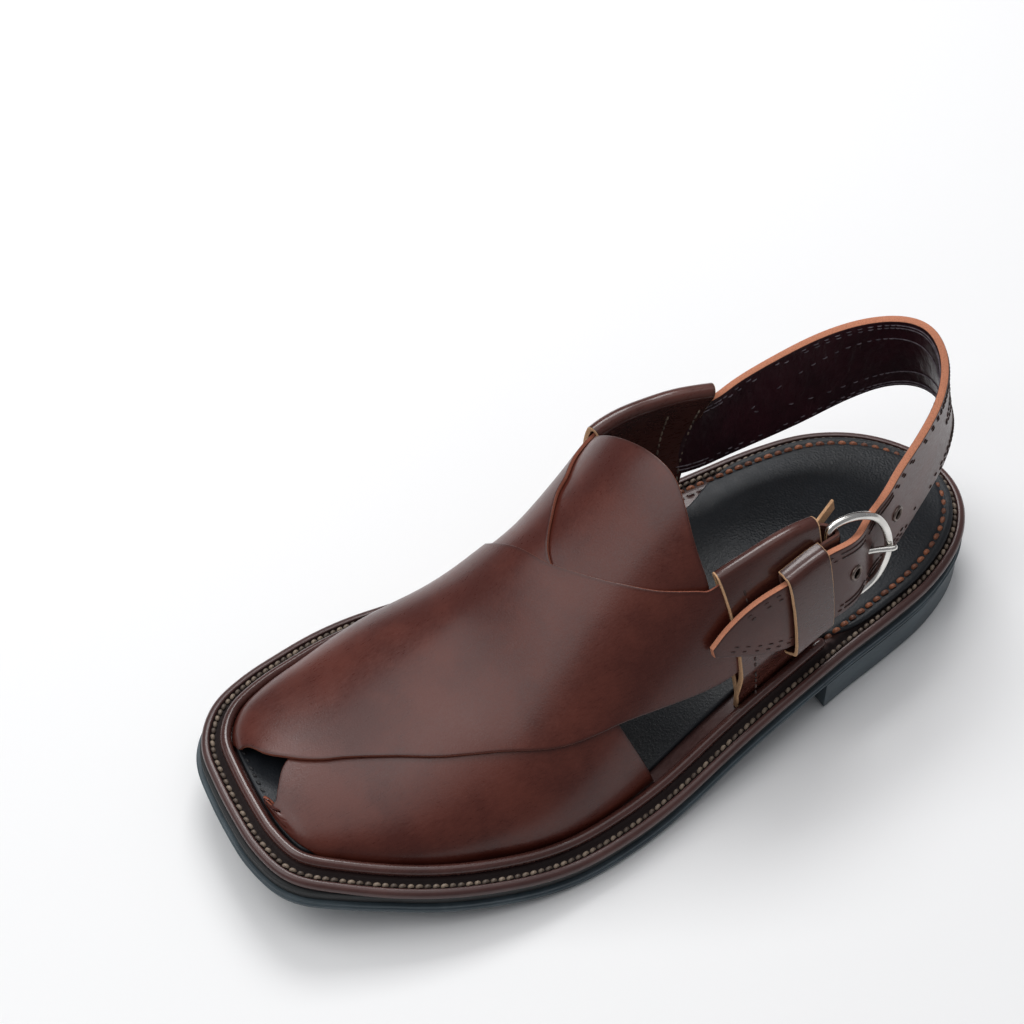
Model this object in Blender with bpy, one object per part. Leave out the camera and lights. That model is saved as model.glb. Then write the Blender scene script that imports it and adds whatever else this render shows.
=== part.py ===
"""Charsadda chappal, left shoe, empty and standing on its sole.

Two leather bands cross over the forefoot above a tongue. Folded quarters clasp the bands' ends, and a heel
strap runs from the inner quarter round the heel to a buckle on the outer quarter.
Metres, +Z up, toe at -Y, the foot's outer side at +X. The origin lies on the floor under the heel block.

Inside the functions, "along" runs from the front of the welt's stitch row to the heel, "across" runs to the
outer side, and a place on the last is (along, girth), where girth goes from 0 at the inner feather edge,
over 0.5 at the crest, to 1 at the outer feather edge.
"""

import math

import bmesh
import bpy
import numpy as np
from mathutils import Vector
from mathutils.geometry import delaunay_2d_cdt

# Footprint, measured on the stitch row of the welt.
STITCH_LENGTH = 0.282
STITCH_WIDTH = 0.120
RIM_MARGIN = 0.0033
TOE_MARGIN = 0.0027
TOE_MARGIN_REACH = 0.030
REST_ALONG = 0.239 / 0.282 * STITCH_LENGTH

# Sole stack.
TOE_SPRING = 0.017
HEEL_LIFT = 0.014
OUTSOLE_THICK = 0.0039
MIDSOLE_THICK = 0.0038
WELT_THICK = 0.0039
MIDSOLE_RECESS = 0.0012
STACK_GAP = 0.0003
SOLE_LINE_OUT = 0.0005
HEEL_BREAST = 0.1995 / 0.282 * STITCH_LENGTH
HEEL_CHAMFER = 0.0011
HEEL_SETBACK = 0.0002
WELT_WIDTH = 0.0125
WELT_RIM = 0.0033
WELT_ROUND = 0.0003
GROOVE_DEPTH = 0.0005
GROOVE_FLOOR = 0.0006
GROOVE_SIDE = 0.0006
BEAD_INSET = 0.0050
BEAD_RADIUS = 0.0015
BEAD_INNER_END = 0.188 / 0.282 * STITCH_LENGTH
BEAD_OUTER_END = 0.2015 / 0.282 * STITCH_LENGTH
INSOLE_THICK = 0.0018
INSOLE_PAD = 0.0022
PAD_LENGTH = 0.085 / 0.282 * STITCH_LENGTH
PAD_WIDTH = 0.056
PAD_ALONG = 0.235 / 0.282 * STITCH_LENGTH

# Last and upper.
INSTEP_HEIGHT = 0.082
FEATHER_INSET_INNER = 0.0104
FEATHER_INSET_OUTER = 0.0090
SIDE_HANDLE = 0.62
CREST_HANDLE = 0.62
GIRTH = 0.150
LEATHER = 0.0018
LAYER_SINK = 0.0004
PIECE_GAP = 0.0003
MESH_PITCH = 0.008
MESH_CLEAR = 0.0034

# Quarters.
QUARTER_OUT = 0.0046
QUARTER_IN = 0.0015
QUARTER_FOOT = 0.0018
SLOT_GIRTH_GAP = 0.004
SLOT_END_GAP = 0.0012
SLOT_GAP = 0.0005
SLOT_FRONT = 0.550
OUTER_SLOT = (0.742, 0.915)
INNER_SLOT = (0.075, 0.249)

# Heel strap, chape, keeper and buckle.
STRAP_THICK = 0.0028
STRAP_EDGE = 0.0007
CHAPE_THICK = 0.0015
CHAPE_GIRTHS = (0.806, 0.938)
CHAPE_FOLD_FLAT = 0.45
PRONG_SLOT_EASE = 1.3
KEEPER_THICK = 0.0016
KEEPER_CROWN = 1.80
KEEPER_CLEAR = 0.0005
BAR_ALONG = 0.2040 / 0.282 * STITCH_LENGTH
BAR_OUT = 0.0030
FRAME_END = 0.2268 / 0.282 * STITCH_LENGTH
FRAME_END_OUT = 0.0066
FRAME_RADIUS = 0.0013
PRONG_RADIUS = 0.0008
PRONG_HOLE = 0.0034
PRONG_GIRTH = 0.877
EYELET_HOLE = 0.0026
EYELET_WALL = 0.0004
EYELET_FLANGE = 0.0013
EYELET_CROWN = 0.0006
EYELET_ROUND = 0.0004

RING_POINTS = 76
FINE_POINTS = 400
CAP_PITCH_ACROSS = 0.026
CAP_PITCH_ALONG = 0.0125
CAP_CLEAR = 0.0075
SHARP_ANGLE = 40

# Stitch row of the welt: along as a share of STITCH_LENGTH, across as a share of STITCH_WIDTH.
OUTLINE = (
    (0.002, 0.017), (0.003, 0.125), (0.018, 0.238), (0.064, 0.323), (0.117, 0.398),
    (0.167, 0.452), (0.220, 0.491), (0.277, 0.519), (0.337, 0.528), (0.397, 0.518),
    (0.461, 0.494), (0.532, 0.464), (0.610, 0.434), (0.681, 0.405), (0.745, 0.372),
    (0.816, 0.341), (0.887, 0.300), (0.950, 0.225), (0.988, 0.125), (1.000, 0.008),
    (0.984, -0.113), (0.945, -0.225), (0.887, -0.303), (0.816, -0.336), (0.745, -0.347),
    (0.667, -0.353), (0.596, -0.348), (0.532, -0.360), (0.472, -0.392), (0.408, -0.433),
    (0.337, -0.460), (0.266, -0.473), (0.206, -0.462), (0.149, -0.433), (0.099, -0.400),
    (0.050, -0.343), (0.016, -0.243), (0.006, -0.117),
)

# Underside of the outsole: share of STITCH_LENGTH, share of TOE_SPRING, share of HEEL_LIFT.
TREAD = (
    (-0.028, 1.000, 0.00), (0.035, 0.824, 0.00), (0.106, 0.594, 0.00), (0.177, 0.376, 0.00),
    (0.248, 0.165, 0.00), (0.298, 0.040, 0.00), (0.326, 0.000, 0.00), (0.433, 0.000, 0.00),
    (0.468, 0.000, 0.07), (0.504, 0.000, 0.23), (0.546, 0.000, 0.47), (0.582, 0.000, 0.66),
    (0.621, 0.000, 0.82), (0.660, 0.000, 0.94), (0.690, 0.000, 1.00), (1.040, 0.000, 1.00),
)

# Sections of the last: share of STITCH_LENGTH, crest height as a share of INSTEP_HEIGHT, then the crest's
# place across and how far each side leans out, as shares of STITCH_WIDTH.
SECTIONS = (
    (0.021, 0.061, -0.033, 0.000, 0.000), (0.071, 0.110, -0.042, 0.000, 0.000),
    (0.160, 0.207, -0.058, 0.000, 0.000), (0.248, 0.341, -0.067, 0.000, 0.000),
    (0.337, 0.500, -0.067, 0.000, 0.000), (0.426, 0.695, -0.067, 0.033, 0.000),
    (0.514, 0.854, -0.058, 0.150, 0.000), (0.585, 0.951, -0.050, 0.233, 0.000),
    (0.691, 1.000, -0.042, 0.183, 0.000), (0.734, 1.000, -0.042, 0.142, 0.017),
    (0.833, 0.976, -0.033, 0.050, 0.017),
)

# Inset of the insole's edge from the stitch row: share of STITCH_LENGTH, share of WELT_WIDTH.
INSOLE_EDGE = (
    (0.000, 1.02), (0.070, 1.00), (0.115, 0.86), (0.440, 0.88), (0.500, 0.96), (0.725, 0.96), (0.800, 0.30),
    (0.860, 0.09), (1.000, 0.09),
)

# Edges of the bands and of the tongue on the last: share of STITCH_LENGTH, girth.
OVER_FRONT = (
    (0.040, 0.000), (0.0475, 0.170), (0.055, 0.390), (0.089, 0.515), (0.132, 0.571), (0.186, 0.623),
    (0.224, 0.662), (0.284, 0.708), (0.345, 0.768), (0.391, 0.798), (0.415, 0.811), (0.466, 0.847),
    (0.521, 0.891), (0.561, 0.915), (0.606, 0.925),
)
OVER_REAR = (
    (0.606, 0.757), (0.564, 0.750), (0.551, 0.736), (0.513, 0.681), (0.482, 0.621), (0.467, 0.590),
    (0.441, 0.528), (0.430, 0.490), (0.420, 0.412), (0.411, 0.330), (0.409, 0.262), (0.421, 0.138),
    (0.442, 0.028), (0.447, 0.000),
)
UNDER_FRONT = (
    (0.0375, 1.000), (0.038, 0.830), (0.040, 0.690), (0.055, 0.543), (0.080, 0.493), (0.160, 0.450),
    (0.250, 0.380), (0.340, 0.270), (0.421, 0.138), (0.466, 0.109), (0.507, 0.086), (0.570, 0.070),
    (0.606, 0.062),
)
UNDER_REAR = (
    (0.606, 0.224), (0.568, 0.243), (0.541, 0.268), (0.511, 0.327), (0.491, 0.351), (0.463, 0.416),
    (0.447, 0.458), (0.436, 0.499), (0.424, 0.580), (0.413, 0.680), (0.411, 0.760), (0.416, 0.817),
    (0.424, 0.869), (0.437, 0.933), (0.452, 1.000),
)
TONGUE_FRONT = ((0.555, 0.200), (0.370, 0.260), (0.370, 0.740), (0.560, 0.790))
TONGUE_REAR = (
    (0.560, 0.790), (0.564, 0.747), (0.564, 0.700), (0.567, 0.652), (0.574, 0.600), (0.580, 0.555),
    (0.581, 0.516), (0.576, 0.460), (0.569, 0.400), (0.564, 0.324), (0.566, 0.252), (0.555, 0.200),
)

# A quarter's outline: height share from its foot to its roll, front and rear as shares of STITCH_LENGTH.
OUTER_QUARTER_ENDS = ((0.00, 0.581, 0.703), (0.50, 0.577, 0.708), (1.00, 0.573, 0.710))
INNER_QUARTER_ENDS = ((0.00, 0.567, 0.675), (0.50, 0.570, 0.704), (1.00, 0.573, 0.732))
# Girth of the middle of the roll: share of STITCH_LENGTH, girth.
OUTER_ROLL = ((0.560, 0.744), (0.610, 0.757), (0.660, 0.768), (0.720, 0.785))
INNER_ROLL = ((0.560, 0.247), (0.610, 0.226), (0.660, 0.204), (0.735, 0.190))

# Heel strap behind the ankle, as shares of STITCH_LENGTH (along), STITCH_WIDTH (across) and INSTEP_HEIGHT
# (height over the floor): the upper edge's three values, then the lower edge's.
STRAP_HEEL = (
    (0.737, -0.322, 0.878, 0.703, -0.300, 0.512),
    (0.768, -0.317, 0.933, 0.757, -0.303, 0.500),
    (0.816, -0.294, 1.012, 0.813, -0.293, 0.512),
    (0.869, -0.258, 1.098, 0.866, -0.275, 0.546),
    (0.913, -0.200, 1.177, 0.915, -0.244, 0.622),
    (0.947, -0.125, 1.232, 0.957, -0.193, 0.707),
    (0.963, -0.042, 1.250, 0.985, -0.122, 0.762),
    (0.956, 0.050, 1.207, 0.996, -0.040, 0.774),
    (0.929, 0.125, 1.140, 0.988, 0.042, 0.744),
    (0.888, 0.179, 1.073, 0.960, 0.108, 0.672),
    (0.842, 0.222, 1.000, 0.915, 0.168, 0.622),
    (0.825, 0.242, 0.971, 0.876, 0.215, 0.603),
    (0.809, 0.258, 0.948, 0.838, 0.262, 0.583),
)
# Heel strap at the buckle: share of STITCH_LENGTH, girth of the upper and of the lower edge, middle's offset
# from the last as a share of QUARTER_OUT.
STRAP_FRONT = (
    (0.794, 0.824, 0.936, 0.40), (0.776, 0.826, 0.931, 0.90), (0.758, 0.824, 0.930, 1.52),
    (0.740, 0.820, 0.930, 1.92), (0.720, 0.816, 0.930, 1.90), (0.690, 0.815, 0.930, 1.80),
    (0.655, 0.818, 0.927, 1.80), (0.625, 0.811, 0.912, 1.74), (0.598, 0.808, 0.895, 1.60),
    (0.568, 0.812, 0.866, 1.42), (0.541, 0.822, 0.836, 1.34),
)
# Frame round the buckle's bar: share of the way from BAR_ALONG to FRAME_END, girth.
FRAME_PATH = (
    (0.00, 0.850), (0.00, 0.800), (0.15, 0.790), (0.50, 0.794), (0.82, 0.812), (1.00, 0.858),
    (1.00, 0.898), (0.80, 0.932), (0.45, 0.945), (0.12, 0.943), (0.00, 0.930),
)
# Keeper over the strap: girth and offset of its inner face as a share of the strap's outer face there.
KEEPER_ARCH = (
    (0.797, 0.00), (0.801, 0.55), (0.811, 1.00), (0.870, 1.06), (0.932, 1.00), (0.943, 0.55), (0.948, 0.00),
)
KEEPER_FRONT = 0.642
KEEPER_REAR = 0.700
# Holes in the strap's middle line: share of its whole length from the tip, and whether an eyelet sits there.
STRAP_HOLES = ((0.238, True), (0.292, False), (0.357, True))

LEATHER_BROWN = (0.085, 0.028, 0.022, 1.0)
STRAP_BROWN = (0.120, 0.055, 0.045, 1.0)
WELT_BROWN = (0.100, 0.045, 0.038, 1.0)
INSOLE_BLACK = (0.012, 0.014, 0.018, 1.0)
RUBBER_SLATE = (0.035, 0.050, 0.062, 1.0)
RUBBER_BLACK = (0.010, 0.010, 0.011, 1.0)
NICKEL = (0.720, 0.700, 0.670, 1.0)


def clear_scene() -> None:
    for obj in list(bpy.data.objects):
        bpy.data.objects.remove(obj)


def collection(name: str):
    made = bpy.data.collections.new(name)
    bpy.context.scene.collection.children.link(made)
    return made


def material(name: str, colour, roughness: float, metallic: float = 0.0):
    made = bpy.data.materials.new(name)
    made.use_nodes = True
    shader = made.node_tree.nodes["Principled BSDF"]
    shader.inputs["Base Color"].default_value = colour
    shader.inputs["Roughness"].default_value = roughness
    shader.inputs["Metallic"].default_value = metallic
    return made


def smooth(rows, place):
    """Values of a table at each place: a smooth curve that doesn't overshoot its rows."""
    table = np.array(rows, float)
    x, value = table[:, 0], table[:, 1:]
    step = np.diff(x)[:, None]
    slope = np.diff(value, axis=0) / step
    tangent = np.zeros_like(value)
    same = slope[:-1] * slope[1:] > 0
    total = np.where(same, slope[:-1] + slope[1:], 1.0)
    tangent[1:-1] = np.where(same, 2 * slope[:-1] * slope[1:] / total, 0.0)
    tangent[0], tangent[-1] = slope[0], slope[-1]
    place = np.clip(np.asarray(place, float), x[0], x[-1])
    k = np.clip(np.searchsorted(x, place, side="right") - 1, 0, len(x) - 2)
    t = ((place - x[k]) / (x[k + 1] - x[k]))[..., None]
    h = step[k]
    return (
        (1 + 2 * t) * (1 - t) ** 2 * value[k]
        + t * (1 - t) ** 2 * h * tangent[k]
        + t * t * (3 - 2 * t) * value[k + 1]
        + t * t * (t - 1) * h * tangent[k + 1]
    )


def spline(rows, closed: bool, steps: int = 16):
    """A curve through the rows, with its speed at each row along the line between the row's neighbours."""
    p = np.array(rows, float)
    count = len(p)
    last = count if closed else count - 1
    t = np.linspace(0, 1, steps, endpoint=False)[:, None]
    found = []
    for i in range(last):
        b, c = p[i], p[(i + 1) % count]
        a = p[i - 1] if closed or i else 2 * b - c
        d = p[(i + 2) % count] if closed or i + 2 < count else 2 * c - b
        found.append(
            0.5 * (2 * b + (c - a) * t + (2 * a - 5 * b + 4 * c - d) * t**2 + (3 * b - a - 3 * c + d) * t**3)
        )
    if not closed:
        found.append(p[-1:])
    return np.vstack(found)


def spaced(curve, count: int, closed: bool):
    """The curve again, with count points at equal distances."""
    path = np.vstack([curve, curve[:1]]) if closed else curve
    run = np.concatenate([[0], np.cumsum(np.linalg.norm(np.diff(path, axis=0), axis=1))])
    at = np.linspace(0, run[-1], count, endpoint=not closed)
    return np.stack([np.interp(at, run, path[:, k]) for k in range(path.shape[1])], 1)


def footprint(count: int):
    """The stitch row as points (across, along), in order past the outer side to the heel and back."""
    rows = [(across * STITCH_WIDTH, along * STITCH_LENGTH) for along, across in OUTLINE]
    return spaced(spline(rows, True), count, True)


def outward(loop):
    tangent = np.roll(loop, -1, 0) - np.roll(loop, 1, 0)
    tangent /= np.linalg.norm(tangent, axis=1)[:, None]
    return np.stack([tangent[:, 1], -tangent[:, 0]], 1)


LOOP = footprint(RING_POINTS)
LOOP_OUT = outward(LOOP)
FINE_LOOP = footprint(FINE_POINTS)
FINE_OUT = outward(FINE_LOOP)


def tread(along):
    """Height of the outsole's underside over the floor."""
    value = smooth(TREAD, np.asarray(along) / STITCH_LENGTH)
    return value[..., 0] * TOE_SPRING + value[..., 1] * HEEL_LIFT


MIDSOLE_BASE = OUTSOLE_THICK + STACK_GAP
WELT_BASE = MIDSOLE_BASE + MIDSOLE_THICK + STACK_GAP
WELT_TOP = WELT_BASE + WELT_THICK


def rim(loop):
    """Distance from the stitch row out to the outsole's edge, more at the toe."""
    return RIM_MARGIN + TOE_MARGIN * np.clip(1 - loop[:, 1] / TOE_MARGIN_REACH, 0, 1)


def ring(lift, inset=0.0, from_rim=False):
    """A ring of the sole's outline at a height over the tread, set in from the stitch row or from the rim."""
    out = (rim(LOOP) if from_rim else 0.0) - np.asarray(inset) + np.zeros(RING_POINTS)
    flat = LOOP + LOOP_OUT * out[:, None]
    return np.column_stack([flat, tread(flat[:, 1]) + lift])


def inside(points, loop):
    """Whether each point lies inside the closed loop."""
    a, b = loop, np.roll(loop, -1, 0)
    x, y = points[:, 0][:, None], points[:, 1][:, None]
    spans = (a[:, 1] > y) != (b[:, 1] > y)
    rise = np.where(b[:, 1] == a[:, 1], 1.0, b[:, 1] - a[:, 1])
    cross = a[:, 0] + (y - a[:, 1]) / rise * (b[:, 0] - a[:, 0])
    return (spans & (x < cross)).sum(1) % 2 == 1


def nearest(points, others):
    return np.linalg.norm(points[:, None] - others[None], axis=2).min(1)


def lattice(loop, pitch_across: float, pitch_along: float):
    """Points on a fixed grid inside the loop, clear of its edge."""
    across = np.arange(-4, 5) * pitch_across
    along = np.arange(0, 40) * pitch_along
    grid = np.array([(x, y) for y in along for x in across])
    keep = inside(grid, loop) & (nearest(grid, loop) > CAP_CLEAR)
    return grid[keep]


def add_object(name: str, points, faces, finish, where):
    """A mesh object from points (across, along, up), moved so that the origin lies under the heel block."""
    moved = np.asarray(points, float) - np.array([0, REST_ALONG, 0])
    mesh = bpy.data.meshes.new(name)
    mesh.from_pydata([tuple(p) for p in moved], [], [tuple(int(i) for i in f) for f in faces])
    work = bmesh.new()
    work.from_mesh(mesh)
    bmesh.ops.remove_doubles(work, verts=work.verts, dist=1e-6)
    bmesh.ops.recalc_face_normals(work, faces=work.faces)
    work.to_mesh(mesh)
    work.free()
    mesh.materials.append(finish)
    mesh.shade_smooth()
    mesh.set_sharp_from_angle(angle=math.radians(SHARP_ANGLE))
    obj = bpy.data.objects.new(name, mesh)
    where.objects.link(obj)
    return obj


def between(first, second, count: int):
    """Faces between two closed rings of count points that start at these indices."""
    return [(first + i, first + (i + 1) % count, second + (i + 1) % count, second + i) for i in range(count)]


def cap(loop, height, first: int, free: int):
    """Triangles that close a flat loop, with a grid of points inside it. height(points) gives their heights.

    Returns the new points and the faces, numbered from the loop's first index and the next free index."""
    grid = lattice(loop[:, :2], CAP_PITCH_ACROSS, CAP_PITCH_ALONG)
    flat = np.vstack([loop[:, :2], grid])
    count = len(loop)
    made = delaunay_2d_cdt([Vector(p) for p in flat], [], [list(range(count))], 1, 1e-9)
    index = [first + i if i < count else free + i - count for i in range(len(flat))]
    source = [ids[0] for ids in made[3]]
    faces = [[index[source[i]] for i in face] for face in made[2]]
    return np.column_stack([grid, height(grid)]), faces


def plate(name: str, rings, under, over, finish, where):
    """A solid from stacked rings, closed below and above by caps of the given heights."""
    points = np.vstack(rings)
    faces = []
    count = len(rings[0])
    for k in range(len(rings) - 1):
        faces += between(k * count, (k + 1) * count, count)
    low, low_faces = cap(rings[0], under, 0, len(points))
    points = np.vstack([points, low])
    high, high_faces = cap(rings[-1], over, (len(rings) - 1) * count, len(points))
    return add_object(name, np.vstack([points, high]), faces + low_faces + high_faces, finish, where)


def hoop(name: str, rings, finish, where):
    """A solid whose rings go round a hole: the last ring joins the first."""
    count = len(rings[0])
    faces = []
    for k in range(len(rings)):
        faces += between(k * count, (k + 1) % len(rings) * count, count)
    return add_object(name, np.vstack(rings), faces, finish, where)


def beam(name: str, sections, finish, where):
    """A solid through equal closed sections in a row, with flat ends."""
    count = len(sections[0])
    faces = []
    for k in range(len(sections) - 1):
        faces += between(k * count, (k + 1) * count, count)
    last = (len(sections) - 1) * count
    faces.append(list(range(count))[::-1])
    faces.append(list(range(last, last + count)))
    return add_object(name, np.vstack(sections), faces, finish, where)


def sheet(name: str, outer, inner, finish, where):
    """A solid between two grids of points."""
    rows, columns = outer.shape[:2]
    size = rows * columns
    faces = []
    for i in range(rows - 1):
        for j in range(columns - 1):
            a = i * columns + j
            quad = (a, a + 1, a + columns + 1, a + columns)
            faces.append(quad)
            faces.append(tuple(size + k for k in quad[::-1]))
    edge = list(range(columns))
    edge += [i * columns + columns - 1 for i in range(1, rows)]
    edge += [(rows - 1) * columns + j for j in range(columns - 2, -1, -1)]
    edge += [i * columns for i in range(rows - 2, 0, -1)]
    for a, b in zip(edge, edge[1:] + edge[:1]):
        faces.append((a, b, size + b, size + a))
    return add_object(name, np.vstack([outer.reshape(-1, 3), inner.reshape(-1, 3)]), faces, finish, where)


def side_line(inset: float, sign: int):
    """The feather edge of one side as (along, across), sorted by along."""
    line = FINE_LOOP - FINE_OUT * inset
    line = line[line[:, 0] * sign > 0.003]
    line = line[np.argsort(line[:, 1])]
    return line[:, 1], line[:, 0]


INNER_LINE = side_line(FEATHER_INSET_INNER, -1)
OUTER_LINE = side_line(FEATHER_INSET_OUTER, 1)


def last_point(along, girth):
    """A point of the last: each half of a section is one curve from the feather edge up to the crest."""
    along, girth = np.broadcast_arrays(np.asarray(along, float), np.asarray(girth, float))
    value = smooth(SECTIONS, along / STITCH_LENGTH)
    height = value[..., 0] * INSTEP_HEIGHT
    crest = value[..., 1] * STITCH_WIDTH
    inner = girth < 0.5
    t = np.where(inner, girth * 2, (1 - girth) * 2)
    foot = np.where(inner, np.interp(along, *INNER_LINE), np.interp(along, *OUTER_LINE))
    lean = np.where(inner, -value[..., 2], value[..., 3]) * STITCH_WIDTH
    side = foot + lean
    shoulder = crest - (crest - side) * CREST_HANDLE
    b0, b1, b2, b3 = (1 - t) ** 3, 3 * t * (1 - t) ** 2, 3 * t * t * (1 - t), t**3
    across = b0 * foot + b1 * side + b2 * shoulder + b3 * crest
    base = tread(along) + WELT_TOP + PIECE_GAP
    return np.stack([across, along, base + height * (b1 * SIDE_HANDLE + b2 + b3)], -1)


def on_last(along, girth, off=0.0):
    """A point at the distance off outside the last, never below the welt."""
    along, girth, off = np.broadcast_arrays(
        np.asarray(along, float), np.asarray(girth, float), np.asarray(off, float)
    )
    step = 0.0005
    held = np.clip(girth, 0.002, 0.998)
    lengthwise = last_point(along + step, girth) - last_point(along - step, girth)
    upward = last_point(along, held + 0.001) - last_point(along, held - 0.001)
    normal = np.cross(upward, lengthwise)
    normal /= np.linalg.norm(normal, axis=-1)[..., None]
    point = last_point(along, girth) + normal * off[..., None]
    floor = tread(point[..., 1]) + WELT_TOP + PIECE_GAP
    point[..., 2] = np.maximum(point[..., 2], floor)
    return point


def boolean(target, other, operation: str) -> None:
    step = target.modifiers.new(operation.title(), "BOOLEAN")
    step.operation = operation
    step.solver = "EXACT"
    step.object = other
    graph = bpy.context.evaluated_depsgraph_get()
    graph.update()
    made = bpy.data.meshes.new_from_object(target.evaluated_get(graph))
    target.modifiers.remove(step)
    old = target.data
    target.data = made
    bpy.data.meshes.remove(old)
    bpy.data.objects.remove(other)


def build_sole(parts, finishes) -> None:
    t = OUTSOLE_THICK
    rings = [
        ring(0.0, 0.0007, True),
        ring(0.20 * t, 0.0, True),
        ring(0.48 * t, 0.0, True),
        ring(0.55 * t, -SOLE_LINE_OUT, True),
        ring(0.68 * t, -SOLE_LINE_OUT, True),
        ring(0.75 * t, 0.0, True),
        ring(t, 0.0, True),
    ]

    def under(points):
        return tread(points[:, 1])

    plate("outsole", rings, under, lambda p: under(p) + t, finishes["rubber"], parts)

    recess = MIDSOLE_RECESS
    rings = [ring(MIDSOLE_BASE, recess, True), ring(MIDSOLE_BASE + MIDSOLE_THICK, recess, True)]
    plate(
        "midsole",
        rings,
        lambda p: under(p) + MIDSOLE_BASE,
        lambda p: under(p) + MIDSOLE_BASE + MIDSOLE_THICK,
        finishes["midsole"],
        parts,
    )

    top = WELT_TOP
    groove = GROOVE_FLOOR + GROOVE_SIDE
    rings = [
        ring(WELT_BASE, WELT_ROUND - WELT_RIM),
        ring(WELT_BASE + 0.5 * WELT_THICK, -WELT_ROUND - WELT_RIM),
        ring(top, 2 * WELT_ROUND - WELT_RIM),
        ring(top, -groove),
        ring(top - GROOVE_DEPTH, -GROOVE_FLOOR),
        ring(top - GROOVE_DEPTH, GROOVE_FLOOR),
        ring(top, groove),
        ring(top, WELT_WIDTH),
        ring(WELT_BASE, WELT_WIDTH),
    ]
    hoop("welt", rings, finishes["welt"], parts)


def heel_ring(inset: float, breast: float, lift: float, count: int = 30):
    """The outline behind the breast line, at one height over the floor."""
    fine = FINE_LOOP + FINE_OUT * (rim(FINE_LOOP) - inset)[:, None]
    start = next(i for i in range(FINE_POINTS) if fine[i - 1, 1] < breast <= fine[i, 1] and fine[i, 0] > 0)
    arc = np.roll(fine, -start, 0)
    stop = next(i for i in range(FINE_POINTS) if arc[i, 1] < breast)
    ends = []
    for a, b in ((np.roll(arc, 1, 0)[0], arc[0]), (arc[stop - 1], arc[stop])):
        share = (breast - a[1]) / (b[1] - a[1])
        ends.append(a + share * (b - a))
    arc = spaced(np.vstack([ends[0], arc[:stop], ends[1]]), count, False)
    across = np.linspace(arc[-1, 0], arc[0, 0], 8)[1:-1]
    line = np.column_stack([across, np.full(6, breast)])
    flat = np.vstack([arc, line])
    return np.column_stack([flat, np.full(len(flat), lift)])


def build_heel(parts, finishes) -> None:
    top = HEEL_LIFT - STACK_GAP
    rings = [
        heel_ring(HEEL_SETBACK + HEEL_CHAMFER, HEEL_BREAST + HEEL_CHAMFER, 0.0),
        heel_ring(HEEL_SETBACK, HEEL_BREAST, HEEL_CHAMFER),
        heel_ring(HEEL_SETBACK, HEEL_BREAST, top),
    ]
    plate(
        "heel",
        rings,
        lambda p: np.zeros(len(p)),
        lambda p: np.full(len(p), top),
        finishes["rubber"],
        parts,
    )


def build_insole(parts, finishes) -> None:
    edge = smooth(INSOLE_EDGE, LOOP[:, 1] / STITCH_LENGTH)[:, 0] * WELT_WIDTH
    board = WELT_WIDTH + PIECE_GAP
    low = WELT_BASE
    step = WELT_TOP + STACK_GAP
    top = step + INSOLE_THICK

    def pad(points):
        reach = ((points[:, 1] - PAD_ALONG) / (PAD_LENGTH / 2)) ** 2 + (points[:, 0] / (PAD_WIDTH / 2)) ** 2
        return tread(points[:, 1]) + top + INSOLE_PAD * np.clip(1.4 - reach, 0, 1)

    rings = [
        ring(low, board),
        ring(step, board),
        ring(step, edge),
        ring(step + 0.6 * INSOLE_THICK, edge),
        ring(top, edge + 0.0008),
    ]
    plate("insole", rings, lambda p: tread(p[:, 1]) + low, pad, finishes["insole"], parts)


def build_bead(parts, finishes) -> None:
    """A round bead on the welt, from the inner quarter round the toe to the outer quarter."""
    line = LOOP - LOOP_OUT * BEAD_INSET
    line = np.column_stack([line, tread(line[:, 1]) + WELT_TOP + STACK_GAP + BEAD_RADIUS])
    outer = [i for i in range(RING_POINTS) if line[i, 0] > 0 and line[i, 1] < BEAD_OUTER_END]
    inner = [i for i in range(RING_POINTS) if line[i, 0] <= 0 and line[i, 1] < BEAD_INNER_END]
    inner = [i for i in inner if i > outer[-1]] + [i for i in inner if i < outer[0]]
    path = line[inner + outer]
    tube("welt_bead", path, BEAD_RADIUS, finishes["upper"], parts)


def tube(name: str, path, radius: float, finish, where, closed: bool = False):
    """A round wire along the path, as a mesh with welded caps."""
    data = bpy.data.curves.new(name, "CURVE")
    data.dimensions = "3D"
    data.bevel_depth = radius
    data.bevel_resolution = 2
    data.use_fill_caps = not closed
    line = data.splines.new("POLY")
    line.points.add(len(path) - 1)
    moved = np.asarray(path) - np.array([0, REST_ALONG, 0])
    line.points.foreach_set("co", np.column_stack([moved, np.ones(len(path))]).ravel())
    line.use_cyclic_u = closed
    guide = bpy.data.objects.new(name + "_path", data)
    where.objects.link(guide)
    graph = bpy.context.evaluated_depsgraph_get()
    graph.update()
    mesh = bpy.data.meshes.new_from_object(guide.evaluated_get(graph))
    bpy.data.objects.remove(guide)
    work = bmesh.new()
    work.from_mesh(mesh)
    bmesh.ops.remove_doubles(work, verts=work.verts, dist=1e-6)
    bmesh.ops.recalc_face_normals(work, faces=work.faces)
    work.to_mesh(mesh)
    work.free()
    mesh.materials.clear()
    mesh.materials.append(finish)
    mesh.shade_smooth()
    mesh.set_sharp_from_angle(angle=math.radians(SHARP_ANGLE))
    obj = bpy.data.objects.new(name, mesh)
    where.objects.link(obj)
    return obj


def plane_of(rows):
    """Places on the last as flat points: along, and girth times the last's mean girth."""
    table = np.array(rows, float)
    return np.column_stack([table[:, 0] * STITCH_LENGTH, (table[:, 1] - 0.5) * GIRTH])


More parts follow.
